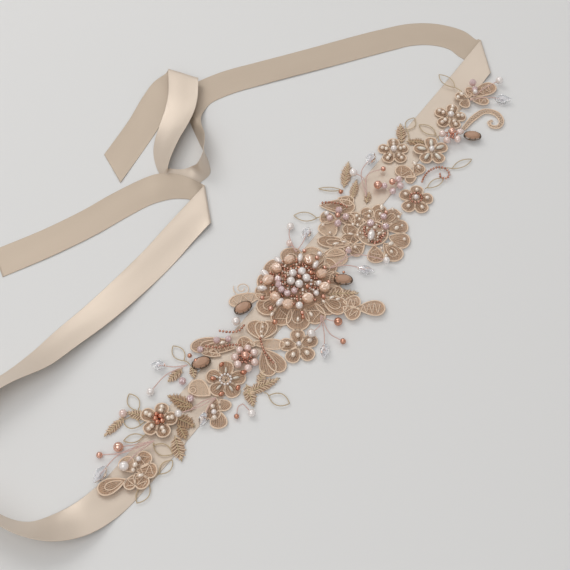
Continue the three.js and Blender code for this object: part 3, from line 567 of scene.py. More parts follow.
# Petals that are placed one by one, by their motif and its level. Columns: foot x, foot y, length, width,
# turn, waves of cord inside and, where it isn't plain, the look: sheer net or a loop of cord inside
PETALS = {
    "lace_flower_end": (FLOWER, [
        (-95, -141, 13, 10, 60, 2), (-95, -142, 13, 10, 0, 2), (-96, -144, 12, 9, -50, 3),
        (-97, -145, 10, 7, -105, 2), (-97, -143, 12, 10, 130, 0, "sheer"),
        (-101, -148, 19, 10.5, 204, 0, "looped"),
    ]),
    "lace_flower_tip": (FLOWER, [
        (146, 174, 10, 8, 160, 0), (146, 174, 10, 8, 245, 0), (147, 175, 11, 8, 75, 2),
        (149, 177, 23, 12, 28, 4), (148, 174, 15, 8, -15, 3),
    ]),
    "lace_petal_fan_low": (LACE, [
        (-15, -53, 21, 11, -76, 0), (-14, -53, 21, 11, -52, 0), (-24, -48, 24, 8, -4, 0, "sheer"),
    ]),
    "lace_petal_fan_high": (LACE, [
        (-17, -45, 15.5, 11, 112, 0), (-16, -45, 15.5, 11, 62, 0), (-16.5, -45, 14, 9, 88, 0),
        (-20, -50, 13, 9, 165, 2),
    ]),
    "lace_petal_left": (LACE, [
        (-38, -46, 27, 11, 192, 0, "looped"), (-34, -52, 20, 8, 180, 4), (-44, -58, 14, 7, 160, 3),
    ]),
    "lace_petal_curl": (LACE, [(-50, -88, 16, 12, 146, 0, "sheer")]),
    "lace_flower_opal": (LACE, [
        (26, 69, 26, 13, -3, 0, "looped"), (40, 76, 12, 9, -20, 2), (38, 56, 12, 11, 165, 0),
        (37, 56, 16, 14, 238, 0, "sheer"), (40, 56, 12, 10, 0, 2),
    ]),
    "lace_flower_bugle": (LACE, [
        (-46, -90, 16, 10, 262, 0), (-44, -99, 13, 11, 272, 0), (-43, -91, 9, 8, 305, 0),
    ]),
    "lace_flower_pearl": (LACE, [
        (100, 96, 17, 11, 150, 2), (99, 97, 12, 9, 62, 2), (100, 96, 9, 7, 205, 0),
    ]),
    "lace_flower_middle": (LACE, [
        (26, 24, 24, 9, 20, 0, "looped"), (28, 14, 20, 15, 42, 0, "sheer"),
        (-15, -9, 25, 10, 196, 3, "sheer"),
    ]),
    "lace_leaf_scallop": (FLOWER, [
        (26, -13, 19, 14, -29, 0, "looped"), (41, -16, 12, 10, 0, 3), (41, -20, 13, 11, -38, 3),
        (50, -21, 20, 12, 0, 5),
    ]),
}
# The middle flower's petals: lobes round its dome. Columns: angle, reach, length, width, waves, look
MIDDLE_FLOWER = (8, -1)
MIDDLE_PETALS = [
    (-88, 14, 23, 16, 0), (-62, 13, 22, 14, 2), (-112, 14, 21, 14, 2), (-140, 15, 19, 14, 0),
    (-38, 14, 21, 14, 2), (-14, 15, 19, 13, 2), (10, 15, 18, 13, 2), (64, 13, 22, 16, 0, "sheer"),
    (98, 12, 20, 15, 0), (138, 12, 16, 14, 0), (172, 13, 15, 13, 0), (35, 14, 20, 14, 0),
    (196, 14, 16, 13, 2),
]
# The upper big flower's petals. Columns: foot x, foot y, length, width, turn
UPPER_PETALS = [
    (58, 50, 15, 10, 128), (62, 52, 15, 10, 95), (67, 52, 18, 11, 75), (72, 51, 18, 11, 48),
    (75, 47, 16, 12, 15), (76, 41, 16, 13, -22), (72, 35, 18, 13, -52), (65, 33, 15, 12, -85),
    (56, 39, 15, 10, 185), (58, 35, 14, 10, 225), (50, 34, 26, 10, 172), (56, 44, 14, 9, 160),
]
# Embroidered leaves, by their motif. Columns: foot x, foot y, length, width, turn, stitches a side, thread
STITCHED_LEAVES = {
    "lace_leaf_fern": [(-106, -104, 18, 6.5, 228, 8)],
    "lace_leaf_feather": [(-62, -95.5, 18, 9, 156, 8, "brown"), (-60, -97, 12, 7, 175, 6, "brown")],
    "spray_stem": [
        (-72, -117.5, 18, 10, -73, 8), (-73, -104, 15, 11, -25, 7, "brown"),
        (-70, -110, 11, 8, -60, 6, "brown"),
    ],
    "spray_low": [(-91, -104, 14, 8, 165, 7)],
    "spray_left": [(-70, -68, 13, 7.5, 228, 7), (-63, -66, 9, 6, 280, 5)],
    "spray_cream": [(-27, -87, 26, 9, 27, 11), (-26, -80, 17, 9, -72, 8), (-18, -80, 12, 7, 70, 6)],
    "spray_tall": [(44.5, 86, 25, 9, 80, 11), (50, 75, 19, 7, 76, 9), (61, 72, 10, 6, 75, 5)],
    "spray_upper": [(91, 130, 19, 9, 90, 8), (95, 131, 16, 8, -4, 7, "brown")],
    "lace_leaf_scallop": [(30, -9, 22, 9, 4, 9)],
}
# Open leaves, by their motif. Columns: x, y, length, width, turn, hub x, hub y
OPEN_LEAVES = {
    "spray_low": [
        (-101, -93, 14, 8, 118, -90, -103), (-101, -108, 12, 8, 165, -90, -106),
        (-99, -119, 13, 6, 195, -88, -115), (-79.3, -127, 14, 8, -25, -86, -122),
    ],
    "spray_end": [(-76.5, -139, 12, 7, 50, -88, -147), (-90, -157, 14, 8, 240, -88, -148)],
    "spray_left": [(-73, -56, 14, 8, 125, -64, -66)],
    "spray_cream": [(-4, -91, 15, 9, -22, -14, -86)],
    "spray_upper": [(99, 149, 14, 8, 62, 97, 133), (112, 143, 16, 8, 140, 120, 132)],
    "spray_right": [(136, 109, 18, 6, 30, 118, 104), (114.3, 90.5, 16, 6, 35, 106, 85)],
    "lace_flower_tip": [(131, 193, 18, 8, 130, 144, 178)],
    "lace_flower_opal": [(34, 84.5, 17, 3.5, 176, 44, 82), (15, 59, 17, 8, 172, 30, 59)],
}

# Beads. Columns: x, y, z, r and, where it is long, stretch and turn
HIGH = DOME + 5.1
PEARLS = [
    (5.5, 4.5, HIGH, 3.05), (12, 6, HIGH, 3.05), (15.2, 0.5, HIGH, 3.05), (10, -4.5, HIGH, 3.05),
    (4.2, -2, HIGH, 3.05), (-5, 16.5, 7.4, 2.2, 1.65, -40), (11, 18.5, 7.6, 2.15, 1.7, 80),
    (22, 12.5, 7.6, 2.1, 1.75, 62), (-14.5, 5.5, 7.2, 2.3, 1.6, -32), (-16, -7, 7, 2.1, 1.8, -2),
    (-3.5, -18.5, 7.2, 2.3, 1.6, 48), (10, -21, 7, 2.7), (22, -11, 7, 2.2), (24, -3, 7.2, 2.3),
    (25, 23, 5.4, 2.2), (18.5, -1.5, 8.5, 1.1), (18.2, -4.5, 8.2, 1.1), (17.2, -7.2, 7.8, 1.1),
    (12.5, -9, 7.6, 1.1), (20, -8.5, 7, 1.0), (63, 40, 5.2, 2.7, 1.8, 78), (60.5, 46.5, 4.2, 1.2),
    (66, 47, 4.4, 1.5, 1.3, 20), (69, 42, 4, 1.2, 2.2, 45), (72, 66, 4, 1.7, 1.8, 85), (70.5, 59.5, 4, 1.5),
    (63, 62, 4, 1.5), (62, 57.5, 4, 1.4), (53, 58, 4, 1.5), (55, 55, 4, 1.3), (80, 64, 4, 1.4),
    (84, 57, 4, 1.4), (86, 60, 4, 1.2), (82, 47, 4, 1.6, 1.4, 40), (86, 49, 4, 1.2), (87, 37, 4, 1.4),
    (77, 33, 4, 1.7, 1.5, 30), (77, 26, 4, 1.4), (50, 50, 4, 1.4), (53.5, 49.5, 4, 1.3),
    (48, 41.5, 4, 1.2, 2.4, -8), (53, 40.5, 4, 1.3), (37, 33, 4, 1.2, 2.6, 12), (43, 34.5, 4, 1.2, 2.2, 0),
    (51, 30, 4, 1.4), (70, 29, 4, 1.3), (73, 22.5, 4, 1.2, 1.6, 60), (31, 60, 4.2, 2.0), (28, 50, 3.4, 1.4),
    (33, 43, 3.4, 1.3), (-94, -135, 5.6, 1.9), (-96, -139, 5.4, 1.7, 1.2, 50), (-97, -142.5, 5.2, 1.7),
    (-92, -146, 5, 1.3, 1.8, 20), (-70, -104, 7.5, 2.6), (-34, -33, 5.5, 3.1), (-16, -44, 3.6, 1.4),
    (-16.5, -40.5, 3.6, 1.3), (-15.5, -36.5, 3.6, 1.3), (-48, -97, 3.6, 1.8), (-47, -101, 3.6, 2.0),
    (-46.5, -105, 3.6, 1.8), (-43, -49, 3.6, 1.3, 1.8, 20), (9.5, -50.5, 5, 2.0), (84, 121, 5.2, 2.6),
    (113, 120, 6.4, 2.1, 1.3, 80), (131, 156, 5.2, 2.5), (98, 74.5, 5, 2.2), (99, 107, 4.6, 1.6, 1.5, -50),
    (102, 103.5, 4.4, 1.5, 1.4, -50), (152, 178, 6.6, 2.0), (141, 176, 6, 1.8), (138, 173, 5.8, 1.6),
    (-9, -27, 5, 1.3, 1.8, 60), (9, -31, 5, 1.2, 2.0, 80), (18, -27, 5, 1.3, 1.8, -60),
    (33, -14, 6, 1.2, 2.2, 30), (37, -15.5, 6, 1.2, 1.8, 10), (27, -17, 5.4, 1.2, 1.6, -40),
    (-24, -59, 3, 1.6),
]
PEACH = [
    (3, 17, 7.2, 4.1), (17, 17, 7.2, 4.1), (26, 5, 7.2, 4.2), (28, -6, 7, 4.2), (16, -15, 7, 4.3),
    (2, -20, 7, 4.0), (-7, -14, 7, 4.1), (-12, 0, 7.2, 4.4), (-6, 10, 7.2, 4.2),
]
OPALS = [
    (-5, 0, 7.8, 2.6), (-4.5, -4.5, 7.8, 2.6), (-2.5, -8.5, 7.8, 2.6), (1.5, -11.5, 7.6, 2.6),
    (6.5, -9.5, 7.8, 2.5), (-47, -47, 3.6, 2.6), (-39, -46, 3.6, 2.4), (-58, -54, 3.4, 2.4),
    (-69, -78, 3, 2.7), (-63, -91, 3.2, 2.6), (75, 86, 3.8, 2.5), (81, 81, 3.8, 2.6), (86, 92, 3.8, 2.7),
    (87, 86, 3.8, 2.8), (151, 188, 6.2, 3.0), (152, 181, 6.2, 2.4), (40, 63, 4.2, 2.8), (45, 57, 4.2, 2.7),
    (39, 51, 4.2, 2.8), (33, 56, 4.2, 2.5), (63, 51, 4.6, 2.9), (74, 48, 4.4, 2.6), (73, 57, 4.4, 2.6),
    (46, 27, 4.2, 2.4),
]
ROSE = [
    (14, 26, 5, 1.6), (23, 19, 6.6, 1.7), (28.5, 11, 6, 1.5), (31, -1, 5.6, 1.6), (27, -13, 5.6, 1.7),
    (12, -26, 5, 1.7), (-10, -22.5, 5.2, 1.9), (-16, -14, 5.4, 1.6), (-17, -1, 5.4, 1.2), (70, 86, 5, 3.2),
    (81, 89, 5, 2.5), (75, 102, 4, 2.0), (39, 58, 5, 2.1), (75, 61, 4.4, 1.5), (130, 137, 6.8, 2.8),
    (-27, -60, 5.8, 3.1),
]
COPPER = [
    (18.5, 5, 8.4, 1.9), (15.8, -6.6, 8.6, 1.9), (10, 1, 9.6, 1.7), (10, 9.5, 8.2, 1.3),
    (12.5, -29, 4.4, 1.5), (-7, -33, 4.6, 1.9), (42, 81, 3, 1.8), (-65, -59, 3.6, 1.7),
    (-60.5, -63, 3.8, 1.7), (-28, -72, 4, 1.6, 1.5, 0), (-85, -107, 6.2, 2.1), (-81.5, -105.5, 6.4, 2.1),
    (-83.5, -109.5, 6.2, 2.0), (-84.5, -103.8, 6, 1.8), (-80.5, -108.5, 6, 1.8),
    (-48.5, -76.5, 4, 1.5, 1.5, 0), (-31.5, -83.5, 4, 1.6, 1.4, 60), (-42.5, -88, 4, 1.5, 1.5, 30),
    (-43, -66, 4, 1.4, 1.5, 50), (37, 5, 4.4, 1.2), (42, 8, 4.4, 1.2),
]
PINK = [
    (-34, -60.5, 4.4, 2.8), (-32, -66, 4.4, 2.8), (-25, -69, 4.4, 2.8), (-20.5, -64.5, 4.4, 2.85),
    (-21, -57, 4.4, 2.8), (-25.5, -53.5, 4.2, 2.7), (-31, -55, 4.2, 2.7), (122.5, 135.5, 5.6, 2.85),
    (136.5, 137.5, 5.6, 2.4, 1.3, 0), (125.5, 129, 5.6, 2.85), (134, 130, 5.6, 2.6, 1.2, 80),
    (-107, -102, 3.2, 2.85), (46, 27.5, 6.2, 1.4),
]
# Strands of seed beads: their routes and their levels
SEED_STRANDS = [
    ([(-54, -52), (-46, -53), (-38, -51), (-30, -51)], 4.2),
    ([(-17, -46), (-15, -54), (-12, -60), (-6.5, -66)], 4.2),
    ([(-45, -40), (-38, -41), (-32, -40), (-28, -35)], 4.4),
    ([(28, 70), (34, 70.5), (41, 69), (47, 66)], 3.8),
    ([(104, 91), (106, 96), (111, 102), (119, 105), (124, 102), (125, 97), (122, 94), (118.5, 95.5),
      (118, 99)], 2.4),
    ([(58, 46), (58.5, 42), (60.5, 38.5)], 4.4),
    ([(67.5, 34.5), (71, 38), (74, 43)], 4.2),
    ([(-1.5, 2), (0.5, 1), (0, -2)], 9), ([(0, -5), (2.5, -7)], 8.8),
]
# Rings of seed beads. Columns: x, y, z, radius of the ring, beads, kind
SEED_RINGS = [(98, 74.5, 4.2, 4.4, 11, "seed"), (-40, -77, 3.6, 3.8, 11, "pearl")]

# Wired sprigs: a root, then for each wire its route and what is on its end
SPRIGS = [
    ((8, 26, 3.8), [
        ((3, 40), (4, 49, 3.0), "pearl", 2.9), ((5, 31), (3, 34, 3.0), "blush", 2.7),
        ((13, 34), (16, 43, 3.2), "crystal", 3.6, 10, 65),
    ]),
    ((32, 12, 3.8), [
        ((50, 22), (73, 18, 5.2), "pearl", 2.5), ((42, 18), (46, 27.5, 5.4), "blush", 1.6),
        ((45, 14), (58, 11, 3.2), "crystal", 3.2, 12, -10),
    ]),
    ((25, -27, 3.6), [
        ((30, -31), (37, -32, 3.2), "copper", 3.0), ((24, -37), (18, -43, 6.2), "pearl", 3.1),
        ((27, -42), (27, -55, 3.2), "crystal", 3.2, 11, -98), ((31, -42), (40, -47, 2.2), "copper", 2.1),
    ]),
    ((-66, -66.3, 3.8), [
        ((-75, -68), (-86, -66, 3.2), "crystal", 3.4, 10, 175), ((-80, -74), (-90, -86, 3.0), "pearl", 2.7),
    ]),
    ((-85, -122, 4.6), [
        ((-97, -125), (-108, -126, 3.3), "rose", 3.4), ((-104, -130.5), (-120, -131, 2.2), "rose", 2.2),
        ((-96, -132), (-103, -140, 5.6), "pearl", 3.3),
        ((-107, -132), (-118, -145, 4), "crystal", 3.9, 13, 238),
    ]),
    ((-28, -94.6, 2.4), [
        ((-31, -97), (-32, -103.5, 2.0), "copper", 1.8), ((-26, -97), (-22, -101.5, 2.6), "pearl", 2.6),
    ]),
    ((-46, -91, 4), [
        ((-58, -100), (-70, -104, 7.5), "", 0), ((-50, -97), (-54, -106, 3.4), "crystal", 3.2, 10, -110),
        ((-53, -93), (-62, -99, 4), "", 0),
    ]),
    ((61, 77, 2.4), [
        ((60, 90), (52, 97, 6), "pearl", 3.1), ((58, 98), (66, 112, 4.6), "crystal", 4.0, 11, 60),
        ((63, 96), (75, 102, 4), "", 0),
    ]),
    ((147, 170, 5.2), [
        ((158, 181), (173, 191.5, 5.2), "pearl", 3.0),
        ((160, 173), (174, 173, 3.6), "crystal", 3.6, 13, -4),
    ]),
]

# Brown stones. Columns: x, y, level, turn
STONES = [(41.5, 2, FLOWER, -5), (-29.5, -20.5, LACE, 35), (-57, -64, LACE, 25), (146, 134.5, FLOWER, -5)]
# The scroll's course
SCROLL = [
    (140, 143.5), (149.2, 154.8), (159, 161.8), (167.5, 159.5), (171, 152), (168, 146), (162.5, 146.2),
    (161, 150.3), (164, 152.2),
]


def stone(x, y, z, turn):
    """A marquise stone in a metal cup with prongs."""
    rim = outline(STONE_LENGTH, STONE_WIDTH, "stone", 20) - [STONE_LENGTH / 2, 0]
    rings = ((0.8, 0.2), (1.0, 1.5), (0.97, 2.3), (0.88, 2.5), (0.6, 4.3), (0.25, 4.6))
    points = np.vstack([raised(rim * share, high) for share, high in rings])
    at = np.arange(len(points)).reshape(len(rings), -1)
    after = np.roll(at, -1, 1)
    faces = [faces_of(at[r], after[r], after[r + 1], at[r + 1]) for r in (0, 1, 3, 4)]
    batch("stones").add(place(points, x, y, z, turn), [*faces, at[-1:]], ["setting"] * 2 + ["stone"] * 3,
                        smooth=False, tone=0.5)
    for share in (-0.82, -0.3, 0.3, 0.82):
        for side in (-1, 1):
            wide = side * 4.75 * (1 - abs(share)) ** 0.6
            claw = [[7 * share, wide * 1.02, 1.2], [6.6 * share, wide * 0.86, 3.2]]
            tube("stones", "setting", place(claw, x, y, z, turn), CLAW)


for row in FLOWERS:
    flower(*row)
for motif, (level, rows) in PETALS.items():
    for x, y, length, width, turn, waves, *look in rows:
        petal(motif, x, y, level, length, width, turn, look, waves, fills=4 if waves else 7)
for angle, reach, length, width, waves, *look in MIDDLE_PETALS:
    right, away = toward(angle)
    look += [] if waves else ["looped"]
    x, y = MIDDLE_FLOWER[0] + reach * right, MIDDLE_FLOWER[1] + reach * away
    petal("lace_flower_middle", x, y, LACE, length, width, angle, look, waves)
for x, y, length, width, turn in UPPER_PETALS:
    look = ["looped"] if length > 16 else []
    petal("lace_flower_upper", x, y, LACE, length, width, turn, look, waves=2 if length < 16 else 0, fills=6)
for motif, rows in STITCHED_LEAVES.items():
    for row in rows:
        stitched(motif, *row)
for motif, rows in OPEN_LEAVES.items():
    level = FLOWER if motif == "lace_flower_tip" else LACE
    for x, y, *row in rows:
        open_leaf(motif, x, y, level, *row)
for row in STONES:
    stone(*row)
spiral("lace_flower_middle", -30.5, -4, 6.5, 160)
spiral("lace_petal_curl", -62, -84, 3.6, 60)

# The oval of cord round the upper flower's middle, with net inside
oval = circle(36, 11.2, 10.6)
oval_at = (64.5, 43)
ground("lace_flower_upper_net", oval, "sheer", *oval_at, LACE + 0.6, 20)
thread("lace_flower_upper", "cord", raised(oval, 1.9), (*oval_at, LACE, 20), OVAL_CORD, 6, closed=True)

# The scroll: net between two cords that curl in
route = curve([(x, y, LACE + 0.7) for x, y in SCROLL], 1.2)
count = len(route)
ahead = unit(np.gradient(route, axis=0))
half = np.interp(np.linspace(0, 1, count), [0, 0.2, 0.55, 0.8, 1], [1.4, 2.2, 2.2, 1.3, 0.8])[:, None]
aside = raised(np.stack([-ahead[:, 1], ahead[:, 0]], 1), 0) * half
at = np.arange(count)
batch("lace_scroll_net").add(np.vstack([route + aside, route - aside]) - [0, 0, 0.3],
                             faces_of(at[:-1], at[1:], at[1:] + count, at[:-1] + count), "sheer")
for side in (1, -1):
    tube("lace_scroll_cord", "cord", route + side * aside, CORD, 6)
zigzag = route + aside * np.where(at % 2, 0.6, -0.6)[:, None] + [0, 0, 0.2]
tube("lace_scroll_cord", "cord", zigzag, ZIGZAG_CORD, 4)

for row in PEARLS:
    ball("pearls", "small" if row[3] < 1.9 and row[2] < 7 else "pearl", *row)
for row in PEACH:
    cut_bead("peach_beads", "peach", *row)
for row in OPALS:
    cut_bead("opal_beads", "opal", *row, flat=0.95)
for piece, kind, rows in (("copper_beads", "rose", ROSE), ("copper_beads", "copper", COPPER),
                          ("pink_beads", "pink", PINK)):
    for row in rows:
        ball(piece, kind, *row)
for route, z in SEED_STRANDS:
    seeds(route, z)
for x, y, z, radius, count, kind in SEED_RINGS:
    for right, away in circle(count, radius):
        piece = "pearls" if kind == "pearl" else "copper_beads"
        ball(piece, kind, x + right, y + away, z, RING_SEED, form="seed")

# The dome's ground, and small beads in the gaps between its large ones
ground("lace_flower_middle_net", circle(32, 23, 22), "net", 7.5, -0.5, 5.6, 0, -4.2)
large = np.array([row[:2] + (row[3],) for row in PEARLS + PEACH + OPALS + ROSE + COPPER])


def scatter(x0, y0, reach, top, sag, shares):
    """Small beads in the gaps between the large ones, over a round patch that falls off by sag at its rim."""
    for across in np.arange(-reach, reach + 1, 2.1):
        for down in np.arange(-reach, reach + 1, 1.9):
            x = x0 + across + rng.uniform(-0.5, 0.5)
            y = y0 + down + rng.uniform(-0.5, 0.5)
            out = math.hypot(x - x0, y - y0)
            clear = np.hypot(large[:, 0] - x, large[:, 1] - y) - large[:, 2]
            if out < reach and clear.min() > 0.1 and rng.random() < 0.8:
                kind = rng.choice(["seed", "copper", "rose", "small"], p=shares)
                piece = "pearls" if kind == "small" else "copper_beads"
                ball(piece, kind, x, y, top - sag * (out / reach) ** 2, rng.uniform(0.85, 1.15), form="seed")


scatter(7.5, -0.5, 20, 6.9, 2.6, [0.3, 0.14, 0.22, 0.34])
scatter(*oval_at, 9.4, 3.0, 0.3, [0.2, 0.1, 0.1, 0.6])

# Seed beads round the middle bead of each pink cluster. Columns: x, y, z
for x, y, z in ((-27, -60.5, 3.4), (130, 135.6, 4.8)):
    for right, away in circle(9, 3.9):
        ball("copper_beads", "seed", x + right, y + away, z, 1.0, form="seed")
    for right, away in ((-1.1, -1.6), (1.1, -1.6), (0, -3.4)):
        ball("copper_beads", "seed", x + right, y + away, z + 0.6, 1.1, form="seed")

# The sprigs' wires, each with what is on its end
for root, wires in SPRIGS:
    for via, end, kind, r, *cut in wires:
        end = np.array([*end[:2], max(end[2], r)], float)
        middle = np.array([*via, max(root[2], end[2]) + 0.5])
        twisted([root, middle, end])
        if kind == "crystal":
            drop("crystals", *end, r, *cut)
        elif kind == "pearl":
            ball("pearls", "pearl", *end, r)
        elif kind == "blush":
            cut_bead("pink_beads", "pink", *end, r)
        elif kind:
            ball("copper_beads", kind, *end, r)


# Ribbon
def rung(x, y, heading, lift=0.0, roll=0.0, slant=None):
    """Right-hand and left-hand ends of a line across the ribbon, seen along its heading."""
    slant = heading + 90 if slant is None else slant
    half = RIBBON_WIDTH / 2 / math.sin(math.radians(slant - heading))
    level, steep = toward(roll)
    right, away = toward(slant)
    rise = abs(half) * steep
    side = np.array([half * level * right, half * level * away, rise])
    centre = np.array([x, y, lift + abs(rise) + RIBBON_SOLID / 2 * level])
    return centre - side, centre + side


def fold(x, y, heading, crease, top, radius):
    """The lines across a fold, from its upper layer to its lower one."""
    half = RIBBON_WIDTH / 2 / math.sin(math.radians(crease - heading))
    along = np.array([*toward(crease), 0])
    out = np.array([along[1], -along[0], 0])
    slide = 1 / math.tan(math.radians(crease - heading))
    lines = []
    for turn in np.linspace(0, math.pi, FOLD_STEPS + 1):
        centre = np.array([x, y, top - radius * (1 - math.cos(turn))])
        centre = centre + out * radius * math.sin(turn) + along * slide * radius * turn
        lines.append((centre - along * half, centre + along * half))
    return lines


def back(lines):
    return [(p, q) for q, p in lines]


def rungs(rows):
    return [rung(*row) for row in rows]


def edge_pairs(rows):
    return [(np.array(q), np.array(p)) for q, p in rows]


# Rungs across the ribbon. Columns: x, y, heading and, where they aren't plain, lift, roll and slant
FRONT = [(-103.6, -152.1, 54.2), (129, 170.4, 54.2), (147, 195.3, 54.2, 0.7)]
RIGHT_RUN = [
    (152, 232, 139), (143.5, 241, 147), (126, 247.5, 167), (106, 247.5, 182), (82.5, 240.5, 198),
    (31.5, 222, 199), (-19, 204, 199.5), (-45, 194.2, 202), (-62, 185, 207),
]
TAIL_A = [
    (-95.5, 185, 237, 2.6), (-103, 171, 242, 1.4), (-112.6, 147, 246), (-132.5, 105, 245.5, 0, 0, 298.5),
]
LEFT = [
    (-114, -163.5, 217), (-127, -174.5, 205, 0, 11), (-143, -181.5, 191, 0, 30), (-161, -182.5, 176, 0, 54),
    (-179, -175.5, 160, 0, 67), (-197, -163, 136, 2, 62), (-210, -144, 112, 6, 42),
    (-215, -122, 90, 10, 10), (-210, -102, 64, 7, -22), (-200, -90, 50, 3, -38),
    (-186.5, -79.5, 45, 0, -43), (-166, -63, 45, 0, -27), (-150.5, -46, 48, 0, -18), (-129, -23, 51, 0, -9),
    (-95, 19, 54), (-76, 45, 55, 1.6),
]
TAIL_B = [(-126, 68.5, 209), (-144, 55, 210.5), (-174, 36, 208), (-207.5, 18, 205, 0, 0, 293)]
# Low edge and high edge of the loop and of the middle strip
LOOP = [
    ((-76, 190, 0.5), (-60.5, 170, 0.5)), ((-81, 178, 0.5), (-64, 163, 1.6)),
    ((-79, 163, 0.5), (-66, 152, 6)), ((-74.5, 150, 0.5), (-64.5, 138, 13)),
    ((-69.5, 137, 0.5), (-61.5, 125, 18.5)), ((-64, 124, 0.5), (-61, 112, 21)),
    ((-59, 112, 0.5), (-62.5, 103.5, 19)), ((-57.5, 100, 0.5), (-66.5, 99, 14)),
    ((-64, 92, 0.5), (-71, 101, 8.5)), ((-72, 84, 0.5), (-76, 101, 5.5)),
    ((-81, 83, 0.5), (-82, 100.5, 5.5)), ((-89.5, 87, 0.5), (-87, 100.5, 6.5)),
    ((-95, 98, 0.5), (-88.5, 97.5, 10.5)), ((-99.5, 109, 0.5), (-87.5, 104, 12)),
    ((-102, 122, 0.5), (-85, 113, 12.5)), ((-101, 134, 2.5), (-81, 126, 12)),
    ((-98, 147, 4.5), (-75.5, 141, 10.5)), ((-94.7, 161, 6.2), (-71, 157, 9.2)),
    ((-93, 176, 8), (-69.2, 172, 8.8)),
]
# Far and near edge of tail B where it comes out of the left fold, arched over the loop's foot
TAIL_B_START = [
    ((-69.5, 91.2, 4.6), (-70.7, 75.0, 0.5)), ((-77, 94.6, 5), (-77.5, 76.4, 0.5)),
    ((-85, 96.6, 5), (-84.5, 76.2, 0.5)), ((-96.6, 97, 4), (-93.9, 73.6, 0.5)),
    ((-106.5, 94.6, 2), (-101.2, 70.4, 0.5)),
]
# Folds. Columns: x, y, heading, direction of the crease, height of the upper layer, radius
LEFT_FOLD = (-59, 67.5, 55, 100, 3.9, 1.7)
RIGHT_FOLD = (164.5, 219.5, 54.2, 97, 3.1, 1.3)
TOP_FOLD = (-82, 194, 88.5, 158, 9.2, 3.1)
# Soft waves of the cloth where nothing is sewn on it.
# Columns: share of the length, rise at one edge, rise at the other
WAVES = [
    (0.0, 1.2, 0.2), (0.03, 0.1, 1.6), (0.07, 1.4, 0.2), (0.11, 0.2, 0.6), (0.17, 0.3, 0.3),
    (0.19, 0.2, 1.2), (0.23, 1.0, 0.1), (0.27, 0.0, 0.0), (0.42, 0.0, 0.0), (0.62, 0.0, 0.0),
    (0.68, 0.2, 0.2), (0.72, 0.6, 1.6), (0.75, 1.6, 0.2), (0.79, 0.1, 1.0), (0.83, 1.2, 0.2),
    (0.87, 0.1, 0.1), (0.95, 0.2, 0.2), (0.98, 0.2, 1.4), (1.0, 1.6, 0.3),
]
# Low humps where the ribbon leaves the table. Columns: way along it, rise
HUMPS = [
    (0, 0), (505, 0), (520, 0.8), (532, 1.7), (542, 2.1), (557, 1.7), (566, 1.2), (574, 0.6), (582, 0),
    (2000, 0),
]
# Where points lie across the ribbon, as shares of its width
ACROSS = np.array([0, 0.015, 0.05, 0.12, 0.22, 0.36, 0.5, 0.64, 0.78, 0.88, 0.95, 0.985, 1])


def ribbon_lines():
    """Both edges of the whole ribbon, from the end of tail B to the end of tail A."""
    lines = rungs(TAIL_B)[::-1] + edge_pairs(TAIL_B_START)[::-1]
    lines += back(fold(*LEFT_FOLD)[::-1] + rungs(LEFT)[::-1])
    lines += rungs(FRONT) + fold(*RIGHT_FOLD)
    lines += back(rungs(RIGHT_RUN) + edge_pairs(LOOP))
    return lines + fold(*TOP_FOLD) + back(rungs(TAIL_A))


def ribbon_edges():
    """Points along both edges, at even steps between the lines."""
    first, second = [np.array(points, float) for points in zip(*ribbon_lines())]
    a, b = with_ends(first), with_ends(second)
    edges = []
    for i in range(1, len(a) - 2):
        reach = max(np.linalg.norm(a[i + 1] - a[i]), np.linalg.norm(b[i + 1] - b[i]))
        at = np.arange(max(2, int(reach / RIBBON_STEP)))
        at = at / len(at)
        edges.append((span(*a[i - 1:i + 3], at), span(*b[i - 1:i + 3], at)))
    return np.vstack([e[0] for e in edges] + [first[-1:]]), np.vstack([e[1] for e in edges] + [second[-1:]])


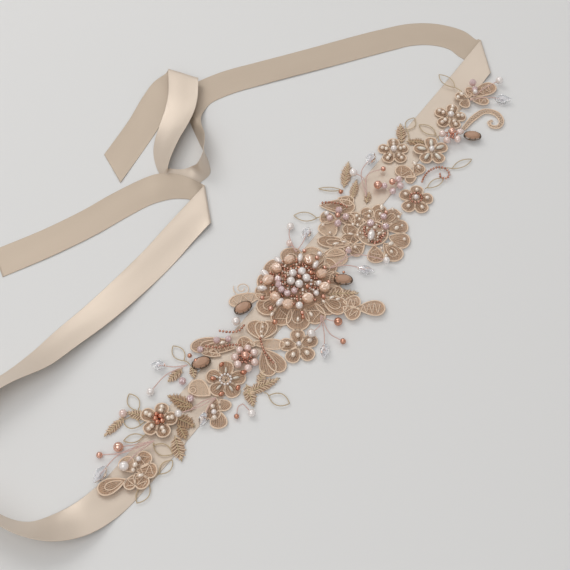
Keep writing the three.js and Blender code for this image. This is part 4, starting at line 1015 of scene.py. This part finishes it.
def ribbon():
    """The cloth between its edges: a satin side, a dull side and thin rims. Gives its length."""
    q, p = ribbon_edges()
    run = travelled((q + p) / 2)
    table = np.array(WAVES)
    waves = [np.interp(run / run[-1], table[:, 0], table[:, k]) for k in (1, 2)]
    soften = np.hanning(41) / np.hanning(41).sum()
    waves = [np.convolve(np.pad(w, 20, "edge"), soften, "valid")[:, None] for w in waves]
    forward = unit(np.gradient((q + p) / 2, axis=0))
    normal = unit(np.cross(p - q, forward))
    count, wide = len(q), len(ACROSS)
    middle = q[:, None] * (1 - ACROSS)[None, :, None] + p[:, None] * ACROSS[None, :, None]
    middle[:, :, 2] += WAVE_SHARE * (waves[0] * (1 - ACROSS) ** 1.5 + waves[1] * ACROSS**1.5)
    middle[:, :, 2] += 0.1 * np.sin(9 * ACROSS[None, :] + run[:, None] / 45) + 0.1
    middle[:, :, 2] += np.interp(run, *zip(*HUMPS))[:, None]
    thick = RIBBON_THICK / 2 * np.where((ACROSS < 0.03) | (ACROSS > 0.97), 1.0, 0.8)[None, :, None]
    upper = middle - normal[:, None] * thick
    lower = middle + normal[:, None] * thick
    drop_by = np.minimum(RIBBON_SINK, np.minimum(upper, lower)[:, :, 2] - 0.03)
    upper[:, :, 2] -= drop_by
    lower[:, :, 2] -= drop_by
    uv = np.stack([np.tile(ACROSS * RIBBON_WIDTH, count), np.repeat(run, wide)], 1)
    at = np.arange(count * wide).reshape(count, wide)
    low = at + count * wide
    faces = [
        faces_of(at[:-1, :-1], at[:-1, 1:], at[1:, 1:], at[1:, :-1]),
        faces_of(low[1:, :-1], low[1:, 1:], low[:-1, 1:], low[:-1, :-1]),
        faces_of(at[:-1, 0], at[1:, 0], low[1:, 0], low[:-1, 0]),
        faces_of(at[1:, -1], at[:-1, -1], low[:-1, -1], low[1:, -1]),
        faces_of(at[0, 1:], at[0, :-1], low[0, :-1], low[0, 1:]),
        faces_of(at[-1, :-1], at[-1, 1:], low[-1, 1:], low[-1, :-1]),
    ]
    batch("ribbon").add(np.vstack([upper.reshape(-1, 3), lower.reshape(-1, 3)]), faces,
                        ["satin", "reverse"] + ["satin"] * 4, uv=np.vstack([uv, uv]))
    return run[-1]


ribbon_length = ribbon()


# Pieces
def build(name, made):
    points = (np.vstack(made.points) - MIDDLE) * MM
    corners = np.concatenate([part.ravel() for part in made.faces])
    sizes = np.concatenate([np.full(len(part), part.shape[1]) for part in made.faces])
    starts = np.concatenate([[0], np.cumsum(sizes)[:-1]])
    mesh = bpy.data.meshes.new(name)
    mesh.vertices.add(len(points))
    mesh.vertices.foreach_set("co", points.astype(np.float32).ravel())
    mesh.loops.add(len(corners))
    mesh.loops.foreach_set("vertex_index", corners.astype(np.int32))
    mesh.polygons.add(len(sizes))
    mesh.polygons.foreach_set("loop_start", starts.astype(np.int32))
    kinds = list(dict.fromkeys(made.kinds))
    for kind in kinds:
        mesh.materials.append(MATERIALS[kind])
    places = {kind: i for i, kind in enumerate(kinds)}
    mesh.polygons.foreach_set("material_index", np.array([places[k] for k in made.kinds], np.int32))
    mesh.polygons.foreach_set("use_smooth", np.concatenate(made.smooth))
    for field, values in (("tone", made.tone), ("along", made.along)):
        layer = mesh.attributes.new(field, "FLOAT", "POINT")
        layer.data.foreach_set("value", np.concatenate(values).astype(np.float32))
    layer = mesh.uv_layers.new(name="UVMap")
    layer.data.foreach_set("uv", np.vstack(made.uv)[corners].astype(np.float32).ravel())
    mesh.update(calc_edges=True)
    mesh.validate()
    piece = bpy.data.objects.new(name, mesh)
    bpy.context.scene.collection.objects.link(piece)
    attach(piece, "root")
    return piece


pieces = {name: build(name, made) for name, made in batches.items()}

CAD_NODES = list(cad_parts)

STANDS_FOR = {
    "ribbon": [n for n in CAD_NODES if n.startswith("ribbon_")],
    "pearls": ["bead_dome"],
    "pink_beads": ["cluster_low", "cluster_high"],
    "stones": [n for n in CAD_NODES if n.startswith("stone_")],
    "wires": [n for n in CAD_NODES if n.startswith("sprig_")],
    "copper_beads": ["bead_row"],
}
for name, nodes in STANDS_FOR.items():
    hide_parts(*nodes)
for name in CAD_NODES:
    if name.startswith(("lace_", "spray_")):
        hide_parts(name)


def cut_size(piece):
    """Width, length and area of a flat piece, in metres."""
    mesh = piece.data
    co = np.array([v.co for v in mesh.vertices])
    flat = co[:, :2] - co[:, :2].mean(0)
    _, _, axes = np.linalg.svd(flat, full_matrices=False)
    size = np.ptp(flat @ axes.T, axis=0)
    return float(min(size)), float(max(size)), float(sum(f.area for f in mesh.polygons))


for name, piece in pieces.items():
    if name.endswith("_net"):
        width, length, area = cut_size(piece)

# Table, light and camera
bpy.ops.mesh.primitive_plane_add(size=TABLE_SIZE, location=(0, 0, -TABLE_DROP))
table = bpy.context.object
table.name = "table"
table.data.materials.append(material("pale table", (226, 225, 223), 0.75))

scene = bpy.context.scene
scene.view_settings.view_transform = "Standard"
world = bpy.data.worlds.new("studio")
scene.world = world
world.use_nodes = True
sky = world.node_tree.nodes["Background"]
sky.inputs["Color"].default_value = (0.98, 0.985, 1.0, 1)
direction = world.node_tree.nodes.new("ShaderNodeTexCoord")
parts = world.node_tree.nodes.new("ShaderNodeSeparateXYZ")
glow = world.node_tree.nodes.new("ShaderNodeMapRange")
glow.inputs["To Min"].default_value = 0.4
glow.inputs["To Max"].default_value = 0.52
world.node_tree.links.new(direction.outputs["Generated"], parts.inputs["Vector"])
world.node_tree.links.new(parts.outputs["Z"], glow.inputs["Value"])
world.node_tree.links.new(glow.outputs["Result"], sky.inputs["Strength"])


def lamp(name, place, size, power, colour):
    """A round soft light that looks at the table's middle."""
    data = bpy.data.lights.new(name, "AREA")
    data.shape = "DISK"
    data.size = size
    data.energy = power
    data.color = colour
    made = bpy.data.objects.new(name, data)
    made.location = place
    made.rotation_euler = (-Vector(place)).to_track_quat("-Z", "Y").to_euler()
    scene.collection.objects.link(made)


# Lamps, in metres and watts. Columns: name, place, size across, power, colour
LAMPS = [
    ("window", (-0.82, 0.98, 1.3), 1.0, 7.6, (1.0, 0.99, 0.975)),
    ("wall", (0.3, 1.12, 1.4), 0.85, 2.4, (1.0, 0.99, 0.975)),
    ("softbox", (-0.55, -1.0, 1.7), 1.8, 11.5, (1.0, 0.995, 0.99)),
]
for row in LAMPS:
    lamp(*row)

camera = bpy.data.objects.new("camera", bpy.data.cameras.new("camera"))
camera.data.sensor_width = CAMERA_SENSOR
camera.data.lens = CAMERA_LENS
aim = Vector((-MIDDLE[0] * MM, -MIDDLE[1] * MM, 0))
away = Vector((0, -math.cos(CAMERA_RISE), math.sin(CAMERA_RISE)))
camera.location = aim + away * CAMERA_DISTANCE * MM
camera.rotation_euler = (-away).to_track_quat("-Z", "Y").to_euler()
scene.collection.objects.link(camera)
scene.camera = camera
